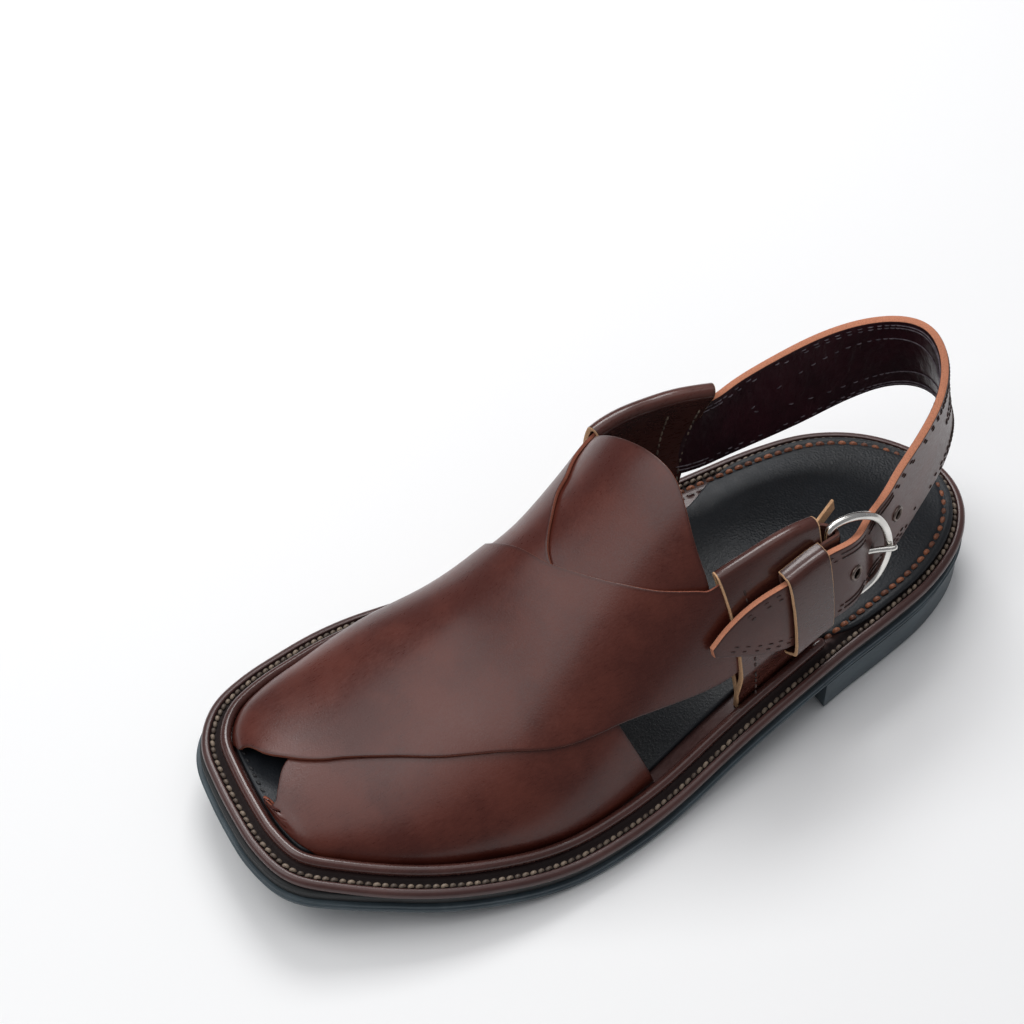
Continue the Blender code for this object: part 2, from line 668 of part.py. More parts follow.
def edge_points(*edges):
    """A closed outline through the edges, with a point at every corner and about one mesh pitch apart."""
    found = []
    for rows in edges:
        curve = spline(plane_of(rows), False) if len(rows) > 4 else plane_of(rows)
        for piece in [curve] if len(rows) > 4 else [curve[i : i + 2] for i in range(len(curve) - 1)]:
            length = np.linalg.norm(np.diff(piece, axis=0), axis=1).sum()
            count = max(2, int(round(length / MESH_PITCH)) + 1)
            found.append(spaced(piece, count, False)[:-1])
        found.append(plane_of(rows)[-1:])
    points = np.vstack(found)
    keep = np.linalg.norm(points - np.roll(points, 1, 0), axis=1) > 0.0005
    points = points[keep]
    points[:, 1] = np.clip(points[:, 1], -0.5 * GIRTH, 0.5 * GIRTH)
    return points


def build_upper(parts, finishes) -> None:
    """The two bands and the tongue as one wall, whose inner and outer faces step where a layer ends."""
    feather_inner = (OVER_REAR[-1], OVER_FRONT[0])
    over = edge_points(OVER_FRONT, (OVER_FRONT[-1], OVER_REAR[0]), OVER_REAR, feather_inner)
    feather_outer = (UNDER_REAR[-1], UNDER_FRONT[0])
    under = edge_points(UNDER_FRONT, (UNDER_FRONT[-1], UNDER_REAR[0]), UNDER_REAR, feather_outer)
    tongue = edge_points(TONGUE_FRONT, TONGUE_REAR)
    outlines = (tongue, under, over)
    flat = [p for outline in outlines for p in outline]
    edges = []
    start = 0
    for outline in outlines:
        count = len(outline)
        edges += [(start + i, start + (i + 1) % count) for i in range(count)]
        start += count
    along = np.arange(0.010, 0.175, MESH_PITCH)
    around = (np.arange(-9, 10)) * MESH_PITCH
    grid = np.array([(x, y) for x in along for y in around])
    keep = inside(grid, over) | inside(grid, under) | inside(grid, tongue)
    grid = grid[keep & (nearest(grid, np.array(flat)) > MESH_CLEAR)]
    made = delaunay_2d_cdt([Vector(p) for p in flat + list(grid)], edges, [], 0, 1e-6)
    places = np.array([tuple(v) for v in made[0]])
    triangles = np.array([f for f in made[2] if len(f) == 3])
    middle = places[triangles].mean(1)
    in_tongue, in_under, in_over = (inside(middle, outline) for outline in outlines)
    keep = in_tongue | in_under | in_over
    triangles, in_tongue, in_under, in_over = (a[keep] for a in (triangles, in_tongue, in_under, in_over))

    step = LEATHER - LAYER_SINK
    high = np.where(in_over, 2, np.where(in_under, 1, 0)) * step + LEATHER - step
    low = np.where(in_tongue, 0, np.where(in_under, 1, 2)) * step - step
    steps = 1e-6
    girth = places[:, 1] / GIRTH + 0.5
    levels = {}

    def vertex(i: int, off: float) -> int:
        key = (i, round(off / steps))
        if key not in levels:
            levels[key] = len(levels)
        return levels[key]

    faces = []
    sides = {}
    for face, top, bottom in zip(triangles, high, low):
        faces.append([vertex(i, top) for i in face])
        faces.append([vertex(i, bottom) for i in face[::-1]])
        for a, b in zip(face, np.roll(face, -1)):
            sides.setdefault((min(a, b), max(a, b)), []).append((a, b, bottom, top))
    for neighbours in sides.values():
        a, b, bottom, top = neighbours[0]
        spans = [(bottom, top)]
        if len(neighbours) == 2:
            other_bottom, other_top = neighbours[1][2:]
            spans = [
                (min(bottom, other_bottom), max(bottom, other_bottom)),
                (min(top, other_top), max(top, other_top)),
            ]
        for lower, upper in spans:
            if upper - lower > steps:
                least, most = lower / steps - 1, upper / steps + 1
                left = [key for key in levels if key[0] == a and least < key[1] < most]
                right = [key for key in levels if key[0] == b and least < key[1] < most]
                left.sort(key=lambda key: key[1])
                right.sort(key=lambda key: -key[1])
                faces.append([levels[key] for key in left + right])
    index = np.array([key[0] for key in levels])
    off = np.array([key[1] for key in levels]) * steps
    points = on_last(places[index, 0], girth[index], off)
    add_object("upper", points, faces, finishes["upper"], parts)


def quarter_sections(ends, roll, outer_side: bool, stations: int = 7):
    """Closed sections of a folded quarter, from its front end to its rear end."""
    shares = np.array([0.0, 0.10, 0.22, 0.38, 0.54, 0.70, 0.85, 1.0])
    made = []
    for s in np.linspace(0, 1, stations):
        section = []
        rows = smooth(ends, shares)
        along = (rows[:, 0] + s * (rows[:, 1] - rows[:, 0])) * STITCH_LENGTH
        top = smooth(roll, along / STITCH_LENGTH)[:, 0]
        girth = 1 - shares * (1 - top) if outer_side else shares * top
        swell = np.clip(shares / 0.25, 0, 1)
        out = QUARTER_FOOT + (QUARTER_OUT - QUARTER_FOOT) * swell
        into = PIECE_GAP - (QUARTER_IN + PIECE_GAP) * swell
        section += list(on_last(along, girth, out))
        middle = 0.5 * (QUARTER_OUT - QUARTER_IN)
        radius = 0.5 * (QUARTER_OUT + QUARTER_IN)
        centre = on_last(along[-1], girth[-1], middle)
        outer = on_last(along[-1], girth[-1], QUARTER_OUT) - centre
        rise = on_last(along[-1], girth[-1] + (-0.01 if outer_side else 0.01), middle) - centre
        rise *= radius / np.linalg.norm(rise)
        for turn in (45, 90, 135):
            angle = math.radians(turn)
            section.append(centre + outer * math.cos(angle) + rise * math.sin(angle))
        section += list(on_last(along, girth, into))[::-1]
        made.append(np.array(section))
    return made


def band_slot(name: str, front: float, end: float, low_girths, high_girths, inner_off, outer_off, where):
    """The pocket in a quarter for a band's end, with clearance all round."""
    along = np.linspace(front, end, 4) * STITCH_LENGTH
    shares = np.linspace(0, 1, 9)
    low = np.interp(along, [along[0], along[-1]], low_girths)
    high = np.interp(along, [along[0], along[-1]], high_girths)
    girth = low[:, None] + (high - low)[:, None] * shares
    grid_along = np.repeat(along[:, None], 9, 1)
    outer = on_last(grid_along, girth, outer_off)
    inner = on_last(grid_along, girth, inner_off)
    obj = sheet(name, outer, inner, bpy.data.materials[0], where)
    obj.hide_render = True
    obj.display_type = "WIRE"
    return obj


def build_quarters(parts, cutters, finishes) -> None:
    step = LEATHER - LAYER_SINK
    gap = SLOT_GIRTH_GAP
    end = OVER_FRONT[-1][0] + SLOT_END_GAP / STITCH_LENGTH
    sections = quarter_sections(OUTER_QUARTER_ENDS, OUTER_ROLL, True)
    outer = beam("quarter_lateral", sections, finishes["strap"], parts)
    slot = band_slot(
        "slot_lateral",
        SLOT_FRONT,
        end,
        (OUTER_SLOT[0] - gap, OVER_REAR[0][1] - gap),
        (OUTER_SLOT[1] + gap, OVER_FRONT[-1][1] + gap),
        step - SLOT_GAP,
        step + LEATHER + SLOT_GAP,
        cutters,
    )
    boolean(outer, slot, "DIFFERENCE")
    sections = quarter_sections(INNER_QUARTER_ENDS, INNER_ROLL, False)
    inner = beam("quarter_medial", sections, finishes["strap"], parts)
    slot = band_slot(
        "slot_medial",
        SLOT_FRONT,
        end,
        (INNER_SLOT[0] - gap, UNDER_FRONT[-1][1] - gap),
        (INNER_SLOT[1] + gap, UNDER_REAR[0][1] + gap),
        -SLOT_GAP,
        LEATHER + SLOT_GAP,
        cutters,
    )
    boolean(inner, slot, "DIFFERENCE")


def strap_edges():
    """The heel strap's upper edge, middle and lower edge, from its tip round to the inner quarter."""
    front = np.array(STRAP_FRONT)[::-1]
    along = front[:, 0] * STITCH_LENGTH
    off = front[:, 3] * QUARTER_OUT
    upper_front = on_last(along, front[:, 1], off)
    lower_front = on_last(along, front[:, 2], off)
    heel = np.array(STRAP_HEEL)[::-1]
    sizes = np.array([STITCH_LENGTH, STITCH_WIDTH, INSTEP_HEIGHT])
    upper_heel = (heel[:, :3] * sizes)[:, [1, 0, 2]]
    lower_heel = (heel[:, 3:] * sizes)[:, [1, 0, 2]]
    middle_front = on_last(along, 0.5 * (front[:, 1] + front[:, 2]), off)
    middle_heel = 0.5 * (upper_heel + lower_heel)
    columns = [
        np.vstack([upper_front, upper_heel]),
        np.vstack([middle_front, middle_heel]),
        np.vstack([lower_front, lower_heel]),
    ]
    return spline(np.hstack(columns), False, 6)


def strap_frame(upper, middle, lower):
    """Width direction and outward normal at each station of the strap."""
    wide = upper - lower
    wide /= np.linalg.norm(wide, axis=1)[:, None]
    run = np.gradient(middle, axis=0)
    normal = np.cross(run, wide)
    normal /= np.linalg.norm(normal, axis=1)[:, None]
    if normal[0, 0] < 0:
        normal = -normal
    return wide, normal


def build_strap(parts, cutters, finishes) -> None:
    count = 40
    lines = spaced(strap_edges(), count, False)
    upper, middle, lower = lines[:, :3], lines[:, 3:6], lines[:, 6:]
    wide, normal = strap_frame(upper, middle, lower)
    half = STRAP_THICK / 2
    edge = STRAP_EDGE
    sections = []
    for top, mid, bottom, w, n in zip(upper, middle, lower, wide, normal):
        sections.append(
            np.array([
                top + n * (half - edge),
                top - w * edge + n * half,
                mid + n * half,
                bottom + w * edge + n * half,
                bottom + n * (half - edge),
                bottom - n * (half - edge),
                bottom + w * edge - n * half,
                mid - n * half,
                top - w * edge - n * half,
                top - n * (half - edge),
            ])
        )
    strap = beam("heel_strap", sections, finishes["strap"], parts)

    run = np.concatenate([[0], np.cumsum(np.linalg.norm(np.diff(middle, axis=0), axis=1))])
    made = 0
    for k, (share, has_eyelet) in enumerate(STRAP_HOLES):
        at = share * run[-1]
        i = int(np.clip(np.searchsorted(run, at), 1, count - 2))
        t = (at - run[i - 1]) / (run[i] - run[i - 1])
        centre = middle[i - 1] + t * (middle[i] - middle[i - 1])
        axis = normal[i - 1] + t * (normal[i] - normal[i - 1])
        axis /= np.linalg.norm(axis)
        side = wide[i]
        hole = EYELET_HOLE if has_eyelet else PRONG_HOLE
        profile = [(hole, -2 * STRAP_THICK), (hole, 2 * STRAP_THICK)]
        cutter = turned(f"strap_cut_{k + 1}", centre, axis, side, profile, finishes["metal"], cutters, True)
        cutter.hide_render = True
        cutter.display_type = "WIRE"
        boolean(strap, cutter, "DIFFERENCE")
        if not has_eyelet:
            continue
        barrel = EYELET_HOLE - PIECE_GAP
        bore = barrel - EYELET_WALL
        reach = half + PIECE_GAP
        flange = EYELET_HOLE + EYELET_FLANGE
        made += 1
        crown = reach + EYELET_CROWN
        profile = [
            (bore, -half),
            (barrel, -half),
            (barrel, reach),
            (flange, reach),
            (flange - EYELET_ROUND, crown),
            (bore + EYELET_ROUND, crown),
            (bore, reach),
        ]
        turned(f"eyelet_{made}", centre, axis, side, profile, finishes["metal"], parts, False)


def turned(name: str, centre, axis, side, profile, finish, where, solid: bool, turns: int = 12):
    """A round piece on an axis from (radius, height) rows. A solid one has flat ends."""
    second = np.cross(axis, side)
    second /= np.linalg.norm(second)
    first = np.cross(second, axis)
    angle = np.arange(turns) / turns * math.tau
    spoke = np.cos(angle)[:, None] * first + np.sin(angle)[:, None] * second
    rings = [centre + spoke * radius + axis * height for radius, height in profile]
    if solid:
        return beam(name, rings, finish, where)
    return hoop(name, rings, finish, where)


def build_chape(parts, cutters, finishes) -> None:
    """Leather folded round the buckle's bar: one ply on the quarter, one inside it."""
    outer_low = QUARTER_OUT + PIECE_GAP
    outer_high = outer_low + CHAPE_THICK
    inner_high = -QUARTER_IN - 2 * PIECE_GAP
    inner_low = inner_high - CHAPE_THICK
    middle = 0.5 * (outer_low + inner_high)
    inner_radius = 0.5 * (outer_low - inner_high)
    outer_radius = inner_radius + CHAPE_THICK
    fold = BAR_ALONG + FRAME_RADIUS
    flat = CHAPE_FOLD_FLAT
    front = KEEPER_FRONT * STITCH_LENGTH
    halfway = 0.5 * (front + fold)
    outside = [(front, outer_high), (halfway, outer_high)]
    inside_line = [(front, outer_low), (halfway, outer_low)]
    for turn in (90, 60, 30, 0, -30, -60, -90):
        forward = flat * math.cos(math.radians(turn))
        sideways = math.sin(math.radians(turn))
        outside.append((fold + outer_radius * forward, middle + outer_radius * sideways))
        inside_line.append((fold + inner_radius * forward, middle + inner_radius * sideways))
    flap = 0.5 * (KEEPER_FRONT + KEEPER_REAR) * STITCH_LENGTH
    outside.append((flap, inner_low))
    inside_line.append((flap, inner_high))
    section = outside + inside_line[::-1]
    made = []
    for girth in np.linspace(*CHAPE_GIRTHS, 5):
        made.append(np.array([on_last(along, girth, off) for along, off in section]))
    chape = beam("buckle_chape", made, finishes["strap"], parts)
    half = (PRONG_RADIUS + PIECE_GAP) / GIRTH * PRONG_SLOT_EASE
    along = np.linspace(BAR_ALONG - 0.0050, fold + outer_radius, 4)
    girth = np.linspace(PRONG_GIRTH - half, PRONG_GIRTH + half, 2)
    grid = np.meshgrid(along, girth, indexing="ij")
    slot = sheet(
        "prong_slot",
        on_last(*grid, outer_high + CHAPE_THICK),
        on_last(*grid, inner_low - CHAPE_THICK),
        finishes["metal"],
        cutters,
    )
    boolean(chape, slot, "DIFFERENCE")


def build_keeper(parts, finishes) -> None:
    """A loop of leather over the strap's end, standing on the outer quarter."""
    foot = QUARTER_OUT + PIECE_GAP
    crown = KEEPER_CROWN * QUARTER_OUT + STRAP_THICK / 2 + KEEPER_CLEAR
    rows = np.array(KEEPER_ARCH)
    inner_off = foot + rows[:, 1] * (crown - foot)
    made = []
    for share in (KEEPER_FRONT, 0.5 * (KEEPER_FRONT + KEEPER_REAR), KEEPER_REAR):
        along = np.full(len(rows), share * STITCH_LENGTH)
        inner = on_last(along, rows[:, 0], inner_off)
        bend = np.gradient(inner, axis=0)
        out = np.cross(bend, np.array([0.0, 1.0, 0.0]))
        out /= np.linalg.norm(out, axis=1)[:, None]
        if out[len(out) // 2, 0] < 0:
            out = -out
        outer = inner + out * KEEPER_THICK
        made.append(np.vstack([outer, inner[::-1]]))
    beam("strap_keeper", made, finishes["strap"], parts)


def frame_point(share: float, girth: float, lift: float = 0.0):
    along = BAR_ALONG + share * (FRAME_END - BAR_ALONG)
    off = BAR_OUT + share * (FRAME_END_OUT - BAR_OUT)
    return on_last(along, girth, off + lift)


def build_buckle(parts, finishes) -> None:
    rows = spline([frame_point(*row) for row in FRAME_PATH], True, 3)
    tube("buckle_frame", rows, FRAME_RADIUS, finishes["metal"], parts, True)
    hook = FRAME_RADIUS + PIECE_GAP + PRONG_RADIUS
    path = []
    for turn in (-120, -160, 160, 120, 80):
        angle = math.radians(turn)
        along = BAR_ALONG + hook * math.cos(angle)
        path.append(on_last(along, PRONG_GIRTH, BAR_OUT + hook * math.sin(angle)))
    path += [
        frame_point(0.22, PRONG_GIRTH, 0.0008),
        frame_point(0.42, PRONG_GIRTH, -0.0009),
        frame_point(0.63, PRONG_GIRTH, -0.0008),
        frame_point(0.79, PRONG_GIRTH + 0.001, 0.0002),
        frame_point(0.90, PRONG_GIRTH + 0.002, 0.0014),
        frame_point(1.00, PRONG_GIRTH + 0.003, hook + 0.0001),
        frame_point(1.08, PRONG_GIRTH + 0.003, hook + 0.0004),
    ]
    tube("buckle_prong", spline(path, False, 2), PRONG_RADIUS, finishes["metal"], parts)


def main() -> None:
    clear_scene()
    parts = collection("charsadda_chappal")
    cutters = collection("cutters")
    finishes = {
        "upper": material("upper_leather", LEATHER_BROWN, 0.30),
        "strap": material("strap_leather", STRAP_BROWN, 0.38),
        "welt": material("welt_leather", WELT_BROWN, 0.42),
        "insole": material("insole_cover", INSOLE_BLACK, 0.55),
        "rubber": material("sole_rubber", RUBBER_SLATE, 0.65),
        "midsole": material("midsole_black", RUBBER_BLACK, 0.60),
        "metal": material("nickel", NICKEL, 0.22, 1.0),
    }
    build_sole(parts, finishes)
    build_heel(parts, finishes)
    build_bead(parts, finishes)
    build_insole(parts, finishes)
    build_upper(parts, finishes)
    build_quarters(parts, cutters, finishes)
    build_strap(parts, cutters, finishes)
    build_chape(parts, cutters, finishes)
    build_keeper(parts, finishes)
    build_buckle(parts, finishes)


main()
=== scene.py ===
"""Looks of the charsadda chappal, left shoe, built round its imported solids.

Metres, +Z up, toe at -Y, the foot's outer side at +X. The origin lies on the floor under the heel block.
Inside the classes "along" runs from the front of the welt's stitch row to the heel, and "across" runs to the
outer side. A place on the last is (along, girth), where girth goes from 0 at the inner feather edge, over 0.5
at the crest, to 1 at the outer feather edge. Points are kept as (across, along, up) until a mesh is made.
"""

import logging
import math
from dataclasses import dataclass, field
from enum import Enum
from typing import Any

import bmesh
import bpy
import numpy as np
from mathutils import Matrix, Vector


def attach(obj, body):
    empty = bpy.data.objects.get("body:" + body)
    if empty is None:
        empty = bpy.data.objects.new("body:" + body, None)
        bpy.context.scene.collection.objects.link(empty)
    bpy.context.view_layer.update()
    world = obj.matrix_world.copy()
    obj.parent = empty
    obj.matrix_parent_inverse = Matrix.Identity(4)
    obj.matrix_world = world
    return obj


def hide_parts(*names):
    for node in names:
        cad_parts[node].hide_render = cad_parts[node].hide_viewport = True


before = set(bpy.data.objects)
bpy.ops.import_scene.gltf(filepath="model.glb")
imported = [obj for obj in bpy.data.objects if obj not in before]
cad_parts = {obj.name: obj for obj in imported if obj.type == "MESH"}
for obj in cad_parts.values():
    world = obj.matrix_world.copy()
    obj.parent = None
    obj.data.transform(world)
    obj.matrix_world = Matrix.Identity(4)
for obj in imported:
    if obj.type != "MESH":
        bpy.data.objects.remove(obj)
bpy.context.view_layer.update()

LOG = logging.getLogger("chappal")
Array = np.ndarray
Colour = tuple[float, float, float]
MM = 0.001
UP = np.array([0.0, 0.0, 1.0])
TINY = 1e-9
WELD = 2e-6
SLIVER = 1e-7


# Curves and tables.


def table_value(rows: Any, place: Array) -> Array:
    """Values of a table at each place: one cubic between two rows, which never overshoots them.

    Args:
        rows: Rows of (place, value, ...), sorted by place.
        place: Where the values are wanted.

    Returns:
        The values, with one more axis than place.
    """
    table = np.array(rows, float)
    x, value = table[:, 0], table[:, 1:]
    step = np.diff(x)[:, None]
    slope = np.diff(value, axis=0) / step
    tangent = np.zeros_like(value)
    same = slope[:-1] * slope[1:] > 0
    total = np.where(same, slope[:-1] + slope[1:], 1.0)
    tangent[1:-1] = np.where(same, 2 * slope[:-1] * slope[1:] / total, 0.0)
    tangent[0], tangent[-1] = slope[0], slope[-1]
    place = np.clip(np.asarray(place, float), x[0], x[-1])
    k = np.clip(np.searchsorted(x, place, side="right") - 1, 0, len(x) - 2)
    t = ((place - x[k]) / (x[k + 1] - x[k]))[..., None]
    h = step[k]
    return (
        (1 + 2 * t) * (1 - t) ** 2 * value[k]
        + t * (1 - t) ** 2 * h * tangent[k]
        + t * t * (3 - 2 * t) * value[k + 1]
        + t * t * (t - 1) * h * tangent[k + 1]
    )


def through(rows: Any, closed: bool, steps: int = 16) -> Array:
    """A curve through the rows; at each row it runs along the line between the row's neighbours.

    Args:
        rows: The points to pass.
        closed: Whether the last row joins the first.
        steps: Points for each stretch.

    Returns:
        The points of the curve.
    """
    p = np.array(rows, float)
    if closed:
        a, b, c, d = np.roll(p, 1, 0), p, np.roll(p, -1, 0), np.roll(p, -2, 0)
    else:
        q = np.vstack([2 * p[:1] - p[1:2], p, 2 * p[-1:] - p[-2:-1]])
        a, b, c, d = q[:-3], q[1:-2], q[2:-1], q[3:]
    t = np.linspace(0, 1, steps, endpoint=False)[None, :, None]
    a, b, c, d = (x[:, None] for x in (a, b, c, d))
    curve = 0.5 * (2 * b + (c - a) * t + (2 * a - 5 * b + 4 * c - d) * t**2 + (3 * b - a - 3 * c + d) * t**3)
    curve = curve.reshape(-1, p.shape[1])
    return curve if closed else np.vstack([curve, p[-1:]])


def evenly(curve: Array, count: int, closed: bool) -> Array:
    """The curve again, with its points at equal distances along it.

    Args:
        curve: Points of the curve.
        count: How many points to return.
        closed: Whether the curve is a loop.

    Returns:
        The points.
    """
    path = np.vstack([curve, curve[:1]]) if closed else curve
    run = np.concatenate([[0], np.cumsum(np.linalg.norm(np.diff(path, axis=0), axis=1))])
    at = np.linspace(0, run[-1], count, endpoint=not closed)
    return np.stack([np.interp(at, run, path[:, k]) for k in range(path.shape[1])], 1)


def softened(curve: Array, reach: float, closed: bool = False) -> Array:
    """The curve with each point a bell-weighted mean of its neighbours.

    Args:
        curve: Points at equal steps.
        reach: Width of the bell in points. It narrows to nothing at the ends of an open curve.
        closed: Whether the curve is a loop.

    Returns:
        The smoother curve.
    """
    k = np.arange(len(curve))
    gap = np.abs(k[:, None] - k[None])
    width = np.full(len(curve), float(reach))
    if closed:
        gap = np.minimum(gap, len(curve) - gap)
    else:
        width = np.minimum(width, np.minimum(k, k[::-1]) / 2.5) + 1e-6
    weight = np.exp(-0.5 * (gap / width[:, None]) ** 2)
    return (weight / weight.sum(1)[:, None]) @ curve


def eased(count: int, rounding: float) -> Array:
    """Shares from 0 to 1 with three close steps at each end, for an edge rounded over that share."""
    near = np.array([0.0, 0.12, 0.45, 1.0]) * rounding
    return np.concatenate([near, np.linspace(rounding, 1 - rounding, count)[1:-1], 1 - near[::-1]])


def unit(vectors: Array) -> Array:
    """The vectors at length one."""
    return vectors / np.maximum(np.linalg.norm(vectors, axis=-1), 1e-12)[..., None]


def step_up(value: Array, low: float, high: float) -> Array:
    """0 up to low, 1 from high on, and a smooth step between."""
    t = np.clip((value - low) / (high - low), 0, 1)
    return t * t * (3 - 2 * t)


# Meshes.


class Mark(Enum):
    """What is painted on a mesh's points for its finish to read."""

    CUT = "cut"
    EDGE = "edge"
    SHADE = "shade"


@dataclass(frozen=True)
class Seam:
    """A kind of sewn row: distance from stitch to stitch, length that shows, thread, turn and height.

    The slant turns each stitch about the leather's normal, in degrees. Proud is how far the thread's middle
    stands off the leather, as a share of its thickness.
    """

    pitch: float
    length: float
    thick: float
    slant: float = 0.0
    proud: float = 0.25


class Patchwork:
    """Gathers grids of points into one mesh, with the marks of each point."""

    def __init__(self) -> None:
        """Starts empty."""
        self.points: list[Array] = []
        self.quads: list[Array] = []
        self.slots: list[Array] = []
        self.marks: dict[Mark, list[Array]] = {mark: [] for mark in Mark}
        self.count = 0

    def grids(
        self, points: Array, wrap_u: bool = False, wrap_v: bool = False, slot: int = 0, **marks: Any
    ) -> None:
        """Adds grids of quads.

        Args:
            points: Points as (grid, row, column, 3), or one grid without the first axis.
            wrap_u: Whether the last row joins the first.
            wrap_v: Whether the last column joins the first.
            slot: Material slot of the faces.
            marks: cut, edge or shade, as a number or an array like the points.
        """
        if points.ndim == 3:
            points = points[None]
        size = points.shape[:3]
        index = self.count + np.arange(np.prod(size)).reshape(size)
        if wrap_u:
            index = np.concatenate([index, index[:, :1]], 1)
        if wrap_v:
            index = np.concatenate([index, index[:, :, :1]], 2)
        quads = np.stack([index[:, :-1, :-1], index[:, 1:, :-1], index[:, 1:, 1:], index[:, :-1, 1:]], -1)
        self.quads.append(quads.reshape(-1, 4))
        self.slots.append(np.full(len(self.quads[-1]), slot))
        self.points.append(points.reshape(-1, 3))
        for mark, usual in ((Mark.CUT, 0.0), (Mark.EDGE, 1.0), (Mark.SHADE, 0.0)):
            value = np.asarray(marks.get(mark.value, usual), float)
            self.marks[mark].append(np.broadcast_to(value, size).ravel())
        self.count += int(np.prod(size))

    def slab(
        self, middle: Array, thick: float, radius: float, back: int = 0, turn: float = 1.0,
        raw: float | None = None,
    ) -> None:
        """Adds a sheet of leather round a middle surface, with its edges rounded and marked as cut.

        The faces lie half the thickness off the middle. Within one radius of a border that distance falls
        along a quarter circle, and a strip joins the two faces at the border.

        Args:
            middle: Grid of points (row, column, 3), with close rows at its borders.
            thick: Thickness.
            radius: Radius of the rounded edge.
            back: Material slot of the flesh side.
            turn: -1 turns the grain side to the other face.
            raw: How far the cut edge's colour reaches on to the faces; half the radius where not given.
        """
        normal = unit(np.cross(np.gradient(middle, axis=0), np.gradient(middle, axis=1))) * turn
        away = []
        for axis in (0, 1):
            part = np.linalg.norm(np.diff(middle, axis=axis), axis=2)
            run = np.concatenate([np.zeros_like(np.take(part, [0], axis)), np.cumsum(part, axis)], axis)
            away.append(np.minimum(run, np.take(run, [-1], axis) - run))
        edge = np.minimum(*away)
        fall = radius - np.sqrt(np.maximum(radius**2 - (radius - np.minimum(edge, radius)) ** 2, 0))
        half = np.maximum(thick / 2 - fall, 0.05 * MM)
        cut = np.clip(1.15 - edge / (raw or 0.5 * radius), 0, 1)
        outer, inner = middle + normal * half[..., None], middle - normal * half[..., None]
        self.grids(outer, cut=cut, edge=edge / MM)
        self.grids(inner[:, ::-1], slot=back, cut=cut[:, ::-1], edge=edge[:, ::-1] / MM)
        around = [np.concatenate([g[:, 0], g[-1, 1:], g[-2::-1, -1], g[0, -2:0:-1]]) for g in (outer, inner)]
        between = 0.5 * (around[0] + around[1])
        self.grids(np.stack([around[0], between, around[1]], 1), wrap_u=True, cut=1.0, edge=0.0)

    def hoop(self, rings: Array, slot: int = 0, **marks: Any) -> None:
        """Adds rings round a hole; the last ring joins the first. Rings are (ring, point, 3)."""
        self.grids(rings, wrap_u=True, wrap_v=True, slot=slot, **marks)

    def tube(self, path: Array, radius: float, sides: int, closed: bool) -> None:
        """Adds a round wire: at each point of the path a circle stands across the path.

        Args:
            path: Points of the middle line.
            radius: Radius of the wire.
            sides: Corners of the circle.
            closed: Whether the path is a loop. An open one gets round ends.
        """
        run = np.gradient(path, axis=0)
        if closed:
            run = np.roll(path, -1, 0) - np.roll(path, 1, 0)
        run = unit(run)
        size = np.full(len(path), radius)
        if not closed:
            dome = np.array([0.0, 0.38, 0.71, 0.92])
            back = np.array([1.0, 0.92, 0.71, 0.38])
            start = path[:1] - run[:1] * radius * back[:, None]
            stop = path[-1:] + run[-1:] * radius * back[::-1, None]
            path = np.vstack([start, path, stop])
            run = np.vstack([np.repeat(run[:1], 4, 0), run, np.repeat(run[-1:], 4, 0)])
            size = np.concatenate([radius * dome, size, radius * dome[::-1]])
        level = unit(np.cross(run, UP) + TINY)
        flips = np.sign((level * np.roll(level, 1, 0)).sum(1) + TINY)
        level *= np.where(np.cumprod(flips) < 0, -1, 1)[:, None]
        rise = np.cross(level, run)
        angle = (np.arange(sides) / sides * math.tau)[None, :, None]
        ring = level[:, None] * np.cos(angle) + rise[:, None] * np.sin(angle)
        self.grids(path[:, None] + ring * size[:, None, None], wrap_u=closed, wrap_v=True)

    def turned(
        self, centre: Array, axis: Array, side: Array, profile: Any, turns: int, slot: int = 0, **marks: Any
    ) -> None:
        """Adds a round piece: a closed profile swept round an axis.

        Args:
            centre: Where the profile's height is 0 on the axis.
            axis: Direction of the axis.
            side: Where the sweep starts.
            profile: Rows of (radius, height).
            turns: Steps of the sweep.
            slot: Material slot.
            marks: As for grids.
        """
        second = unit(np.cross(axis, side))
        first = np.cross(second, axis)
        angle = np.arange(turns) / turns * math.tau
        spoke = np.cos(angle)[:, None] * first + np.sin(angle)[:, None] * second
        rows = np.array(profile, float)
        rings = centre + spoke[None] * rows[:, None, :1] + axis * rows[:, None, 1:]
        self.grids(rings, wrap_u=True, wrap_v=True, slot=slot, **marks)

